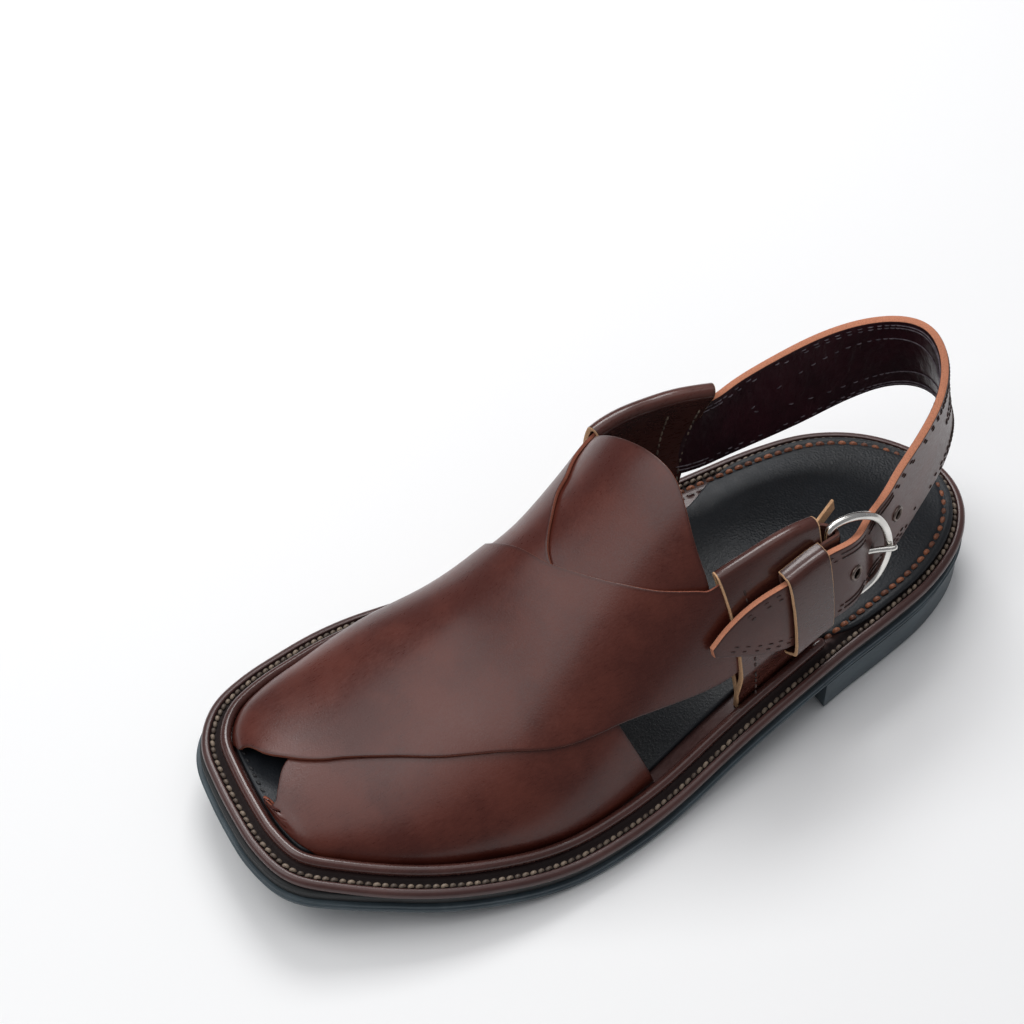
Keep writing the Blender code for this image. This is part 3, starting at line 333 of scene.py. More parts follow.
    def stitches(self, path: Array, normal: Array, seam: Seam, slot: int = 0, closed: bool = False) -> None:
        """Adds a row of sewn stitches.

        Each is a small closed capsule: circles across the thread whose radius falls to nothing at both ends,
        on a line that dips into the leather there.

        Args:
            path: The row's line.
            normal: Direction off the leather at each point.
            seam: The kind of row.
            slot: Material slot.
            closed: Whether the row is a loop.
        """
        both = np.hstack([path, normal])
        total = np.linalg.norm(np.diff(path, axis=0), axis=1).sum()
        count = max(2, int(round(total / seam.pitch)))
        fine = evenly(both, count * 4, closed)
        run = np.gradient(fine[:, :3], axis=0)
        if closed:
            run = np.roll(fine[:, :3], -1, 0) - np.roll(fine[:, :3], 1, 0)
        middle, out, run = fine[2::4, :3], unit(fine[2::4, 3:]), unit(run[2::4])
        side = unit(np.cross(out, run))
        turn = math.radians(seam.slant)
        run, side = run * math.cos(turn) + side * math.sin(turn), side * math.cos(turn) - run * math.sin(turn)
        a = np.array([-1.0, -0.86, -0.45, 0.0, 0.45, 0.86, 1.0])[:, None]
        sides = 6
        b = (np.arange(sides) / sides * math.tau)[None]
        radius = 0.5 * seam.thick * (1 - a**4) ** 0.5
        wobble = 1 + 0.10 * np.sin(np.arange(len(middle)) * 2.4)[:, None, None]
        lengthwise = a * 0.5 * seam.length * wobble
        sideways = radius * np.cos(b) + 0 * lengthwise
        upward = radius * np.sin(b) * 0.8 + seam.thick * (seam.proud - 0.45 * a**2) + 0 * lengthwise
        points = (
            middle[:, None, None]
            + run[:, None, None] * (lengthwise + 0 * b)[..., None]
            + side[:, None, None] * sideways[..., None]
            + out[:, None, None] * upward[..., None]
        )
        shade = 0.5 + 0.5 * np.sin(np.arange(len(middle)) * 1.7)[:, None, None]
        self.grids(points, wrap_v=True, slot=slot, shade=shade)

    def make(self, name: str, finishes: list[bpy.types.Material], sharp: float = 50.0) -> bpy.types.Object:
        """Makes the object: seams welded, faces outwards, smooth up to the sharp angle.

        Args:
            name: Name of the object.
            finishes: Its materials, in the order of their slots.
            sharp: Edges that turn by more degrees stay sharp.

        Returns:
            The object, at the origin.
        """
        points = np.vstack(self.points) - np.array([0.0, Footprint.rest_along, 0.0])
        mesh = bpy.data.meshes.new(name)
        mesh.from_pydata(points.tolist(), [], np.vstack(self.quads).tolist())
        mesh.polygons.foreach_set("material_index", np.concatenate(self.slots).astype(np.int32))
        for mark, values in self.marks.items():
            layer = mesh.attributes.new(mark.value, "FLOAT", "POINT")
            layer.data.foreach_set("value", np.concatenate(values).astype(np.float32))
        work = bmesh.new()
        work.from_mesh(mesh)
        bmesh.ops.remove_doubles(work, verts=work.verts, dist=WELD)
        bmesh.ops.dissolve_degenerate(work, edges=work.edges, dist=SLIVER)
        bmesh.ops.recalc_face_normals(work, faces=work.faces)
        work.to_mesh(mesh)
        work.free()
        for finish in finishes:
            mesh.materials.append(finish)
        mesh.shade_smooth()
        mesh.set_sharp_from_angle(angle=math.radians(sharp))
        made = bpy.data.objects.new(name, mesh)
        bpy.context.scene.collection.objects.link(made)
        return made


def punched(piece: bpy.types.Object, centre: Array, axis: Array, radius: float, depth: float) -> None:
    """Cuts a round hole through a piece with a cylinder that is removed again.

    Args:
        piece: What is punched.
        centre: Middle of the hole.
        axis: Direction of the hole.
        radius: Its radius.
        depth: How far the punch reaches to both sides.
    """
    work = Patchwork()
    side = unit(np.cross(axis, np.array([0.3, 0.2, 1.0])))
    rows = [(SLIVER, -depth), (radius, -depth), (radius, depth), (SLIVER, depth)]
    sides = 28
    work.turned(centre, axis, side, rows, sides, cut=1.0, edge=0.0)
    cutter = work.make("hole_punch", [])
    step = piece.modifiers.new("painted_shade", "BOOLEAN")
    step.operation, step.solver, step.object = "DIFFERENCE", "EXACT", cutter
    graph = bpy.context.evaluated_depsgraph_get()
    graph.update()
    made = bpy.data.meshes.new_from_object(piece.evaluated_get(graph))
    piece.modifiers.remove(step)
    piece.data = made
    bpy.data.objects.remove(cutter)


def show(piece: bpy.types.Object, slot: str, *nodes: str) -> bpy.types.Object:
    """Lets a piece ride on the shoe and hides the solids that it stands for.

    Args:
        piece: The finished piece.
        slot: Slot of its finish; not used.
        nodes: CAD nodes that it stands for.

    Returns:
        The piece.
    """
    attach(piece, "root")
    if nodes:
        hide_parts(*nodes)
    LOG.info("%s: %d faces", piece.name, len(piece.data.polygons))
    return piece


# The shoe's own forms.


@dataclass
class Footprint:
    """The welt's stitch row, and the sole's rings round it."""

    length: float = 0.282
    width: float = 0.120
    rim_margin: float = 3.3 * MM
    toe_margin: float = 2.7 * MM
    toe_reach: float = 30 * MM
    rest_along: float = 0.239
    toe_spring: float = 17 * MM
    heel_lift: float = 14 * MM
    welt_top: float = 12.2 * MM
    points: int = 720
    spine_ends: tuple = (0.045, 0.245)
    # Places along the middle line, and its across value there.
    spine_bow: tuple = ((0.045, 0.12, 0.2), (-0.004, 0.002, 0.0))

    # Stitch row: along as a share of the length, across as a share of the width.
    outline: tuple = (
        (0.002, 0.017), (0.003, 0.125), (0.018, 0.238), (0.064, 0.323), (0.117, 0.398), (0.167, 0.452),
        (0.220, 0.491), (0.277, 0.519), (0.337, 0.528), (0.397, 0.518), (0.461, 0.494), (0.532, 0.464),
        (0.610, 0.434), (0.681, 0.405), (0.745, 0.372), (0.816, 0.341), (0.887, 0.300), (0.950, 0.225),
        (0.988, 0.125), (1.000, 0.008), (0.984, -0.113), (0.945, -0.225), (0.887, -0.303), (0.816, -0.336),
        (0.745, -0.347), (0.667, -0.353), (0.596, -0.348), (0.532, -0.360), (0.472, -0.392), (0.408, -0.433),
        (0.337, -0.460), (0.266, -0.473), (0.206, -0.462), (0.149, -0.433), (0.099, -0.400), (0.050, -0.343),
        (0.016, -0.243), (0.006, -0.117),
    )
    # Underside of the outsole: share of the length, share of the toe spring, share of the heel lift.
    underside: tuple = (
        (-0.028, 1.000, 0.00), (0.035, 0.824, 0.00), (0.106, 0.594, 0.00), (0.177, 0.376, 0.00),
        (0.248, 0.165, 0.00), (0.298, 0.040, 0.00), (0.326, 0.000, 0.00), (0.433, 0.000, 0.00),
        (0.468, 0.000, 0.07), (0.504, 0.000, 0.23), (0.546, 0.000, 0.47), (0.582, 0.000, 0.66),
        (0.621, 0.000, 0.82), (0.660, 0.000, 0.94), (0.690, 0.000, 1.00), (1.040, 0.000, 1.00),
    )

    def __post_init__(self) -> None:
        """Works the fine stitch row and its outward directions out once."""
        rows = [(across * self.width, along * self.length) for along, across in self.outline]
        self.loop = softened(evenly(through(rows, True), self.points, True), 3.0, True)
        run = unit(np.roll(self.loop, -1, 0) - np.roll(self.loop, 1, 0))
        self.out = np.stack([run[:, 1], -run[:, 0]], 1)
        self.margin = self.rim_margin + self.toe_margin * np.clip(1 - self.loop[:, 1] / self.toe_reach, 0, 1)
        grid = np.linspace(self.underside[0][0], self.underside[-1][0], 500)
        self.tread_along = grid * self.length
        lift = table_value(self.underside, grid) @ np.array([self.toe_spring, self.heel_lift])
        self.tread_height = softened(lift[:, None], 6.0)[:, 0]

    def tread(self, along: Array) -> Array:
        """Height of the outsole's underside over the floor."""
        return np.interp(along, self.tread_along, self.tread_height)

    def ring(self, lift: float, inset: Any = 0.0, from_rim: bool = False) -> Array:
        """A ring of the outline: each point moves along its outward direction.

        Args:
            lift: Height over the tread.
            inset: How far the ring lies inside, as a number or one for each point.
            from_rim: Whether the inset counts from the rim, and not from the stitch row.

        Returns:
            Points (across, along, up).
        """
        out = (self.margin if from_rim else 0.0) - np.asarray(inset) + np.zeros(self.points)
        flat = self.loop + self.out * out[:, None]
        return np.column_stack([flat, self.tread(flat[:, 1]) + lift])

    def rings(self, rows: Any) -> Array:
        """Rings of the outline from rows of (height over the tread, inset, whether from the rim)."""
        return np.stack([self.ring(lift, inset, from_rim) for lift, inset, from_rim in rows])

    def cover(self, ring: Array, shares: Array) -> Array:
        """Flat rows that shrink a ring on to the sole's middle line: each point moves its share of the way.

        Args:
            ring: The outer ring.
            shares: Share of the way for each row, from 0 to 1.

        Returns:
            Points (row, point, 2).
        """
        spine = np.column_stack([np.zeros(len(ring)), np.clip(ring[:, 1], *self.spine_ends)])
        spine[:, 0] = np.interp(spine[:, 1], *self.spine_bow)
        return ring[None, :, :2] * (1 - shares[:, None, None]) + spine[None] * shares[:, None, None]

    def from_row(self, flat: Array) -> Array:
        """Distance of flat points from the stitch row.

        Args:
            flat: Points (across, along).

        Returns:
            The distance of each.
        """
        coarse = self.loop[::2]
        found = []
        for part in np.array_split(flat.reshape(-1, 2), 12):
            found.append(np.linalg.norm(part[:, None] - coarse[None], axis=2).min(1))
        return np.concatenate(found).reshape(flat.shape[:-1])


@dataclass
class Last:
    """The foot's form: half sections from the feather edge up to the crest, smoothed along and around."""

    foot: Footprint
    instep: float = 82 * MM
    inner_inset: float = 10.4 * MM
    outer_inset: float = 9.0 * MM
    handle: float = 0.62
    girth_size: float = 0.150
    air: float = 0.3 * MM
    # Shares: place along, crest's height of the instep's, crest's place across, inner lean, outer lean.
    sections: tuple = (
        (0.021, 0.061, -0.033, 0.000, 0.000), (0.071, 0.110, -0.042, 0.000, 0.000),
        (0.160, 0.207, -0.058, 0.000, 0.000), (0.248, 0.341, -0.067, 0.000, 0.000),
        (0.337, 0.500, -0.067, 0.000, 0.000), (0.426, 0.695, -0.067, 0.033, 0.000),
        (0.514, 0.854, -0.058, 0.150, 0.000), (0.585, 0.951, -0.050, 0.233, 0.000),
        (0.691, 1.000, -0.042, 0.183, 0.000), (0.734, 1.000, -0.042, 0.142, 0.017),
        (0.833, 0.976, -0.033, 0.050, 0.017),
    )

    def __post_init__(self) -> None:
        """Samples the form on a fine grid, smooths it there and keeps its points and normals."""
        self.along = np.linspace(0.004, 0.240, 473)
        self.girth = np.linspace(0, 1, 161)
        self.rows = softened(table_value(self.sections, self.along / self.foot.length), 10.0)
        points = self.raw(*np.meshgrid(self.along, self.girth, indexing="ij"))
        turned = np.swapaxes(points, 0, 1).reshape(len(self.girth), -1)
        soft = np.swapaxes(softened(turned, 4.0).reshape(len(self.girth), len(self.along), 3), 0, 1)
        normal = unit(np.cross(np.gradient(soft, axis=1), np.gradient(soft, axis=0)))
        self.grid = np.concatenate([soft, normal], 2)

    def side(self, inset: float, sign: int, along: Array) -> Array:
        """Across value of one side's feather edge at each place along.

        Args:
            inset: How far the feather edge lies inside the stitch row.
            sign: 1 for the outer side, -1 for the inner one.
            along: Places along.

        Returns:
            The across values.
        """
        line = self.foot.loop - self.foot.out * inset
        line = line[line[:, 0] * sign > 3 * MM]
        line = line[np.argsort(line[:, 1])]
        return np.interp(along, line[:, 1], line[:, 0])

    def raw(self, along: Array, girth: Array) -> Array:
        """A point of the form: each half section is one cubic curve with its two inner handles at shares.

        Args:
            along: Places along.
            girth: Places around.

        Returns:
            Points (across, along, up).
        """
        value = np.stack([np.interp(along, self.along, row) for row in self.rows.T], -1)
        height, crest = value[..., 0] * self.instep, value[..., 1] * self.foot.width
        inner = girth < 0.5
        t = np.where(inner, girth * 2, (1 - girth) * 2)
        sides = self.side(self.inner_inset, -1, along), self.side(self.outer_inset, 1, along)
        feather = np.where(inner, *sides)
        side = feather + np.where(inner, -value[..., 2], value[..., 3]) * self.foot.width
        shoulder = crest - (crest - side) * self.handle
        b0, b1, b2, b3 = (1 - t) ** 3, 3 * t * (1 - t) ** 2, 3 * t * t * (1 - t), t**3
        across = b0 * feather + b1 * side + b2 * shoulder + b3 * crest
        base = self.foot.tread(along) + self.foot.welt_top + self.air
        return np.stack([across, along, base + height * (b1 * self.handle + b2 + b3)], -1)

    def at(self, along: Any, girth: Any, off: Any = 0.0) -> Array:
        """A point at the distance off outside the form, never below the welt.

        The grid is read with a cubic weight of the four nearest rows and columns.

        Args:
            along: Place along.
            girth: Place around.
            off: Distance outside the form.

        Returns:
            Points (across, along, up).
        """
        along, girth, off = np.broadcast_arrays(*(np.asarray(x, float) for x in (along, girth, off)))
        rows, row_weight = self.weights(along, self.along)
        columns, column_weight = self.weights(girth, self.girth)
        found = np.zeros(along.shape + (6,))
        for r, wr in zip(rows, row_weight):
            for c, wc in zip(columns, column_weight):
                found += self.grid[r, c] * (wr * wc)[..., None]
        point = found[..., :3] + unit(found[..., 3:]) * off[..., None]
        floor = self.foot.tread(point[..., 1]) + self.foot.welt_top + self.air
        point[..., 2] = np.maximum(point[..., 2], floor)
        return point

    @staticmethod
    def weights(place: Array, grid: Array) -> tuple[list[Array], list[Array]]:
        """The four nearest grid numbers of each place, and their cubic weights.

        Args:
            place: The places.
            grid: Values of the grid, at equal steps.

        Returns:
            Four arrays of numbers and four arrays of weights.
        """
        share = np.clip((place - grid[0]) / (grid[1] - grid[0]), 0, len(grid) - 1 - 1e-9)
        k = share.astype(int)
        t = share - k
        numbers = [np.clip(k + step, 0, len(grid) - 1) for step in (-1, 0, 1, 2)]
        weight = [
            0.5 * (-t + 2 * t**2 - t**3),
            0.5 * (2 - 5 * t**2 + 3 * t**3),
            0.5 * (t + 4 * t**2 - 3 * t**3),
            0.5 * (-(t**2) + t**3),
        ]
        return numbers, weight

    def edge(self, rows: Any) -> Array:
        """A band's edge as places (along, girth) at equal distances on the flattened form.

        Args:
            rows: Rows of (share of the length, girth).

        Returns:
            The places, 300 of them.
        """
        table = np.array(rows, float) * np.array([self.foot.length, self.girth_size])
        curve = softened(evenly(through(table, False), 300, False), 2.0)
        return curve / np.array([1.0, self.girth_size])


# Finishes.


class Value:
    """A shader value: one output socket, whose arithmetic adds Math nodes."""

    def __init__(self, tree: bpy.types.NodeTree, socket: bpy.types.NodeSocket) -> None:
        """Keeps the socket and its node tree."""
        self.tree = tree
        self.socket = socket

    def math(self, operation: str, *values: Any) -> "Value":
        """Adds one Math node.

        Args:
            operation: What it does.
            values: Numbers or values for its sockets.

        Returns:
            Its output.
        """
        node = self.tree.nodes.new("ShaderNodeMath")
        node.operation = operation
        for k, value in enumerate(values):
            if isinstance(value, Value):
                self.tree.links.new(value.socket, node.inputs[k])
            else:
                node.inputs[k].default_value = value
        return Value(self.tree, node.outputs[0])

    def __add__(self, other: Any) -> "Value":
        """self + other."""
        return self.math("ADD", self, other)

    def __radd__(self, other: Any) -> "Value":
        """other + self."""
        return self.math("ADD", other, self)

    def __sub__(self, other: Any) -> "Value":
        """self - other."""
        return self.math("SUBTRACT", self, other)

    def __rsub__(self, other: Any) -> "Value":
        """other - self."""
        return self.math("SUBTRACT", other, self)

    def __mul__(self, other: Any) -> "Value":
        """self * other."""
        return self.math("MULTIPLY", self, other)

    def __rmul__(self, other: Any) -> "Value":
        """other * self."""
        return self.math("MULTIPLY", other, self)

    def clamp(self) -> "Value":
        """The value held between 0 and 1.

        Returns:
            The held value.
        """
        held = self.math("ADD", self, 0.0)
        held.socket.node.use_clamp = True
        return held


class Surface:
    """Builds one Principled material."""

    def __init__(self, name: str) -> None:
        """Makes the material and finds its shader.

        Args:
            name: Name of the material.
        """
        self.material = bpy.data.materials.new(name)
        self.material.use_nodes = True
        self.tree = self.material.node_tree
        self.shader = self.tree.nodes["Principled BSDF"]

    def node(self, kind: str, settings: dict[str, Any], sockets: dict[Any, Any], out: Any = 0) -> Value:
        """Adds any other node.

        Args:
            kind: The node's type.
            settings: Its settings, set first.
            sockets: Values or links of its sockets, by name or number.
            out: Which output to return.

        Returns:
            The output as a value.
        """
        node = self.tree.nodes.new(kind)
        for name, value in settings.items():
            setattr(node, name, value)
        for name, value in sockets.items():
            if isinstance(value, Value):
                self.tree.links.new(value.socket, node.inputs[name])
            else:
                node.inputs[name].default_value = value
        return Value(self.tree, node.outputs[out])

    def place(self) -> Value:
        """Object coordinates, in metres."""
        return self.node("ShaderNodeTexCoord", {}, {}, "Object")

    def mark(self, mark: Mark) -> Value:
        """A mark painted on the mesh."""
        return self.node("ShaderNodeAttribute", {"attribute_name": mark.value}, {}, "Fac")

    def stretched(self, place: Value, scale: tuple[float, float, float], turn: float = 0.0) -> Value:
        """Coordinates turned about the upright axis and scaled."""
        sockets = {"Vector": place, "Rotation": (0.0, 0.0, math.radians(turn)), "Scale": scale}
        return self.node("ShaderNodeMapping", {}, sockets)

    def noise(self, place: Value, scale: float, detail: float = 2.0, rough: float = 0.5) -> Value:
        """Soft noise around 0.5."""
        sockets = {"Vector": place, "Scale": scale, "Detail": detail, "Roughness": rough}
        return self.node("ShaderNodeTexNoise", {}, sockets)

    def cells(self, place: Value, scale: float, feature: str = "F1") -> Value:
        """Distance to the nearest cell's middle or edge."""
        return self.node("ShaderNodeTexVoronoi", {"feature": feature}, {"Vector": place, "Scale": scale})

    def ramp(self, value: Value, low: float, high: float) -> Value:
        """0 up to low, 1 from high on, and a smooth step between."""
        sockets = {"Value": value, "From Min": low, "From Max": high}
        return self.node("ShaderNodeMapRange", {"interpolation_type": "SMOOTHSTEP"}, sockets)

    def mix(self, share: Any, first: Any, second: Any) -> Value:
        """A colour between two colours."""
        sockets = {0: share, 6: self.full(first), 7: self.full(second)}
        return self.node("ShaderNodeMix", {"data_type": "RGBA"}, sockets, 2)

    @staticmethod
    def full(colour: Any) -> Any:
        """A colour with its alpha, or the link as it is."""
        return colour if isinstance(colour, Value) else (*colour, 1.0)

    def bump(self, height: Value, depth: float, strength: float = 1.0, below: Value | None = None) -> Value:
        """A normal from a height.

        Args:
            height: The height, from 0 to 1.
            depth: What a height of 1 stands for, in metres.
            strength: How much of it shows.
            below: A normal to add to.

        Returns:
            The normal.
        """
        sockets: dict[Any, Any] = {"Height": height, "Distance": depth, "Strength": strength}
        if below is not None:
            sockets["Normal"] = below
        return self.node("ShaderNodeBump", {}, sockets)

    def finish(self, **sockets: Any) -> bpy.types.Material:
        """Feeds the shader's sockets.

        Args:
            sockets: Values or links by the socket's name, where an underscore stands for a space.

        Returns:
            The material.
        """
        for name, value in sockets.items():
            socket = self.shader.inputs[name.replace("_", " ")]
            if isinstance(value, Value):
                self.tree.links.new(value.socket, socket)
            else:
                socket.default_value = (*value, 1.0) if isinstance(value, tuple) else value
        return self.material


@dataclass(frozen=True)
class LeatherFinish:
    """Polished leather: mottled colour, fine grain, dark burnished edges, raw cut walls and painted groove
    shade.
    """

    name: str
    body: Colour
    deep: Colour
    raw: Colour
    gloss: float = 0.33
    coat: float = 0.16
    coat_gloss: float = 0.2
    grain: float = 1500.0
    grain_depth: float = 0.04
    wrinkle: float = 0.0
    burnish: float = 0.5
    shine: float = 0.28

    def make(self) -> bpy.types.Material:
        """Makes the material.

        Returns:
            The material.
        """
        s = Surface(self.name)
        place = s.place()
        cloud = s.noise(place, 22.0, 3.0)
        blotch = s.noise(place, 95.0, 4.0, 0.6)
        streak = s.noise(s.stretched(place, (1.0, 0.22, 1.0), 28.0), 1300.0, 3.0, 0.65)
        pores = s.cells(place, self.grain)
        fine = s.noise(place, self.grain * 1.7, 2.0)
        tone = s.ramp(cloud * 0.6 + blotch * 0.25 + streak * 0.15, 0.40, 0.62)
        colour = s.mix(tone, self.deep, self.body)
        edge = s.mark(Mark.EDGE)
        cut = s.mark(Mark.CUT)
        dark_rim = (1 - s.ramp(edge, 0.2, 1.6)) * self.burnish
        colour = s.mix(dark_rim, colour, tuple(0.45 * x for x in self.deep))
        # Painted shade: where the shade mark is set (the welt's stitch groove) the colour goes near black,
        # and the leather gets rougher and loses its coat.
        painted_shade = s.mark(Mark.SHADE)
        colour = s.mix(painted_shade.clamp() * 0.92, colour, (0.006, 0.003, 0.003))
        fibre = s.noise(place, 2600.0, 3.0, 0.7)
        raw = s.mix(s.ramp(fibre, 0.25, 0.6), tuple(0.6 * x for x in self.raw), self.raw)
        worn = s.ramp(cut + (blotch - 0.5) * 0.35 + (fibre - 0.5) * 0.3, 0.52, 0.78)
        colour = s.mix(worn, colour, raw)
        rough = (self.gloss + (streak - 0.5) * 0.34 + (blotch - 0.5) * 0.12) * (1 - worn) + worn * 0.85
        height = pores * 0.45 + fine * 0.35 + streak * 0.25
        normal = s.bump(height, self.grain_depth * MM)
        if self.wrinkle:
            crease = s.noise(s.stretched(place, (1.0, 1.0, 0.35)), 260.0, 3.0, 0.55)
            normal = s.bump(s.ramp(crease, 0.35, 0.65), self.wrinkle * MM, 1.0, normal)
        normal = s.bump(fibre * worn, 0.12 * MM, 1.0, normal)
        return s.finish(
            Base_Color=colour, Roughness=rough + painted_shade * 0.4, Normal=normal, Specular_IOR_Level=self.shine,
            Coat_Weight=(1 - worn) * (1 - painted_shade) * self.coat, Coat_Roughness=self.coat_gloss,
        )


@dataclass(frozen=True)
class InsoleFinish:
    """Black leather, smooth at the border and pebbled on the pad."""

    name: str = "insole_leather"
    body: Colour = (0.0065, 0.0080, 0.0105)
    worn: Colour = (0.0125, 0.0150, 0.0190)

    def make(self) -> bpy.types.Material:
        """Makes the material.

        Returns:
            The material.
        """
        s = Surface(self.name)
        place = s.place()
        pad = s.mark(Mark.SHADE).clamp()
        warp = s.noise(place, 240.0, 2.0)
        pebble = s.cells(place, 1150.0, "SMOOTH_F1")
        small = s.cells(place, 2400.0)
        cloud = s.noise(place, 30.0, 3.0)
        colour = s.mix(s.ramp(cloud, 0.35, 0.65), self.body, self.worn)
        raised = 1 - s.ramp(pebble, 0.15, 0.60)
        height = raised * (0.25 + pad * 0.75) + small * 0.25 + warp * 0.2
        normal = s.bump(height, 0.13 * MM, 0.9)
        rough = 0.52 + (warp - 0.5) * 0.2 - raised * 0.06
        return s.finish(Base_Color=colour, Roughness=rough, Normal=normal, Specular_IOR_Level=0.35)


@dataclass(frozen=True)
class RubberFinish:
    """Moulded rubber: fine mould texture, a few scuffs, and cross grooves on the underside."""

    name: str
    body: Colour
    dusty: Colour
    gloss: float = 0.52

    def make(self) -> bpy.types.Material:
        """Makes the material.

        Returns:
            The material.
        """
        s = Surface(self.name)
        place = s.place()
        cloud = s.noise(place, 60.0, 4.0, 0.6)
        speck = s.noise(place, 2200.0, 2.0)
        rub = s.noise(s.stretched(place, (1.0, 1.0, 6.0)), 420.0, 4.0, 0.7)
        colour = s.mix(s.ramp(cloud, 0.35, 0.68), self.body, self.dusty)
        scuff = s.ramp(rub, 0.66, 0.78) * 0.35
        colour = s.mix(scuff, colour, tuple(min(1.0, 1.7 * x) for x in self.dusty))
        under = s.mark(Mark.SHADE).clamp()
        wave = s.node(
            "ShaderNodeTexWave",
            {"wave_type": "BANDS", "bands_direction": "Y", "wave_profile": "SIN"},
            {"Vector": place, "Scale": 90.0, "Distortion": 0.0},
            "Fac",
        )
        normal = s.bump(speck, 0.035 * MM)
        normal = s.bump(s.ramp(wave, 0.3, 0.7) * under, 0.6 * MM, 1.0, normal)
        rough = self.gloss + (cloud - 0.5) * 0.2 + scuff * 0.4
        return s.finish(Base_Color=colour, Roughness=rough, Normal=normal)


@dataclass(frozen=True)
class MetalFinish:
    """Plated metal with faint handling marks."""

    name: str
    body: Colour
    gloss: float = 0.17

    def make(self) -> bpy.types.Material:
        """Makes the material.

        Returns:
            The material.
        """
        s = Surface(self.name)
        place = s.place()
        haze = s.noise(place, 180.0, 3.0)
        scratch = s.noise(s.stretched(place, (1.0, 0.08, 1.0), 40.0), 2400.0, 2.0)
        colour = s.mix(s.ramp(haze, 0.3, 0.7), tuple(0.82 * x for x in self.body), self.body)
        rough = self.gloss + (haze - 0.5) * 0.10 + s.ramp(scratch, 0.62, 0.75) * 0.12
        normal = s.bump(scratch, 0.006 * MM)
        return s.finish(Base_Color=colour, Metallic=1.0, Roughness=rough, Normal=normal)


@dataclass(frozen=True)
class ThreadFinish:
    """Waxed thread: a twisted strand, lighter and darker from stitch to stitch."""

    name: str
    light: Colour
    dark: Colour

    def make(self) -> bpy.types.Material:
        """Makes the material.

        Returns:
            The material.
        """
        s = Surface(self.name)
        place = s.place()
        twist = s.noise(s.stretched(place, (1.0, 1.0, 1.0), 45.0), 3200.0, 1.0)
        share = s.mark(Mark.SHADE) * 0.6 + twist * 0.4
        colour = s.mix(s.ramp(share, 0.1, 0.9), self.dark, self.light)
        normal = s.bump(twist, 0.08 * MM)
        return s.finish(Base_Color=colour, Roughness=0.55 + (twist - 0.5) * 0.2, Normal=normal)


@dataclass(frozen=True)
class SuedeFinish:
    """The flesh side of leather: matt, with a short uneven nap."""

    name: str = "suede"
    light: Colour = (0.58, 0.34, 0.18)
    dark: Colour = (0.36, 0.19, 0.09)

    def make(self) -> bpy.types.Material:
        """Makes the material.

        Returns:
            The material.
        """
        s = Surface(self.name)
        place = s.place()
        nap = s.noise(place, 1700.0, 4.0, 0.7)
        patch = s.noise(place, 160.0, 3.0)
        colour = s.mix(s.ramp(nap * 0.5 + patch * 0.5, 0.35, 0.65), self.dark, self.light)
        normal = s.bump(nap, 0.25 * MM)
        return s.finish(Base_Color=colour, Roughness=0.92, Normal=normal, Sheen_Weight=0.25)


class Finishes:
    """Every material of the shoe, made once."""

    def __init__(self) -> None:
        """Makes them."""
        tan, orange = (0.60, 0.36, 0.20), (0.50, 0.20, 0.115)
        self.vamp = LeatherFinish(
            "vamp_leather", (0.092, 0.021, 0.013), (0.056, 0.011, 0.007), (0.24, 0.075, 0.045)
        ).make()
        self.strap = LeatherFinish(
            "strap_leather_look", (0.092, 0.030, 0.023), (0.060, 0.019, 0.015), orange, 0.38, 0.2, 0.2
        ).make()
        self.quarter = LeatherFinish(
            "quarter_leather", (0.084, 0.025, 0.018), (0.050, 0.014, 0.010), tan, 0.30, 0.4, 0.14
        ).make()
        self.welt = LeatherFinish(
            "welt_leather_look", (0.080, 0.034, 0.030), (0.050, 0.020, 0.018), (0.09, 0.04, 0.03),
            0.36, 0.3, 0.2, 1900.0, 0.03, burnish=0.2,
        ).make()
        self.bead = LeatherFinish(
            "bead_leather", (0.074, 0.026, 0.021), (0.046, 0.016, 0.013), (0.10, 0.04, 0.03),
            0.28, 0.5, 0.12, 1900.0, 0.03, burnish=0.0,
        ).make()
        self.lining = LeatherFinish(
            "lining_leather", (0.046, 0.008, 0.014), (0.022, 0.005, 0.008), orange,
            0.36, 0.2, 0.25, 900.0, 0.05, 0.22,
        ).make()
        self.insole = InsoleFinish().make()
        self.rubber = RubberFinish("slate_rubber", (0.032, 0.050, 0.062), (0.056, 0.080, 0.095)).make()
        self.midsole = RubberFinish("black_rubber", (0.006, 0.0065, 0.007), (0.012, 0.013, 0.014), 0.6).make()
        self.nickel = MetalFinish("bright_nickel", (0.80, 0.78, 0.74)).make()
        self.antique = MetalFinish("dark_eyelet_metal", (0.16, 0.125, 0.11), 0.3).make()
        self.grey_thread = self.thread("grey_tan_thread", (0.23, 0.175, 0.13), (0.07, 0.05, 0.038))
        self.orange_thread = self.thread("orange_brown_thread", (0.26, 0.085, 0.035), (0.11, 0.035, 0.016))
        self.brown_thread = self.thread("dark_brown_thread", (0.050, 0.021, 0.016), (0.022, 0.010, 0.008))
        self.dull_thread = self.thread("dull_mauve_thread", (0.17, 0.14, 0.16), (0.09, 0.07, 0.085))
        self.black_thread = self.thread("black_thread", (0.02, 0.02, 0.022), (0.006, 0.006, 0.007))
        self.suede = SuedeFinish().make()

    @staticmethod
    def thread(name: str, light: Colour, dark: Colour) -> bpy.types.Material:
        """A thread's material."""
        return ThreadFinish(name, light, dark).make()


# Sub-assemblies.


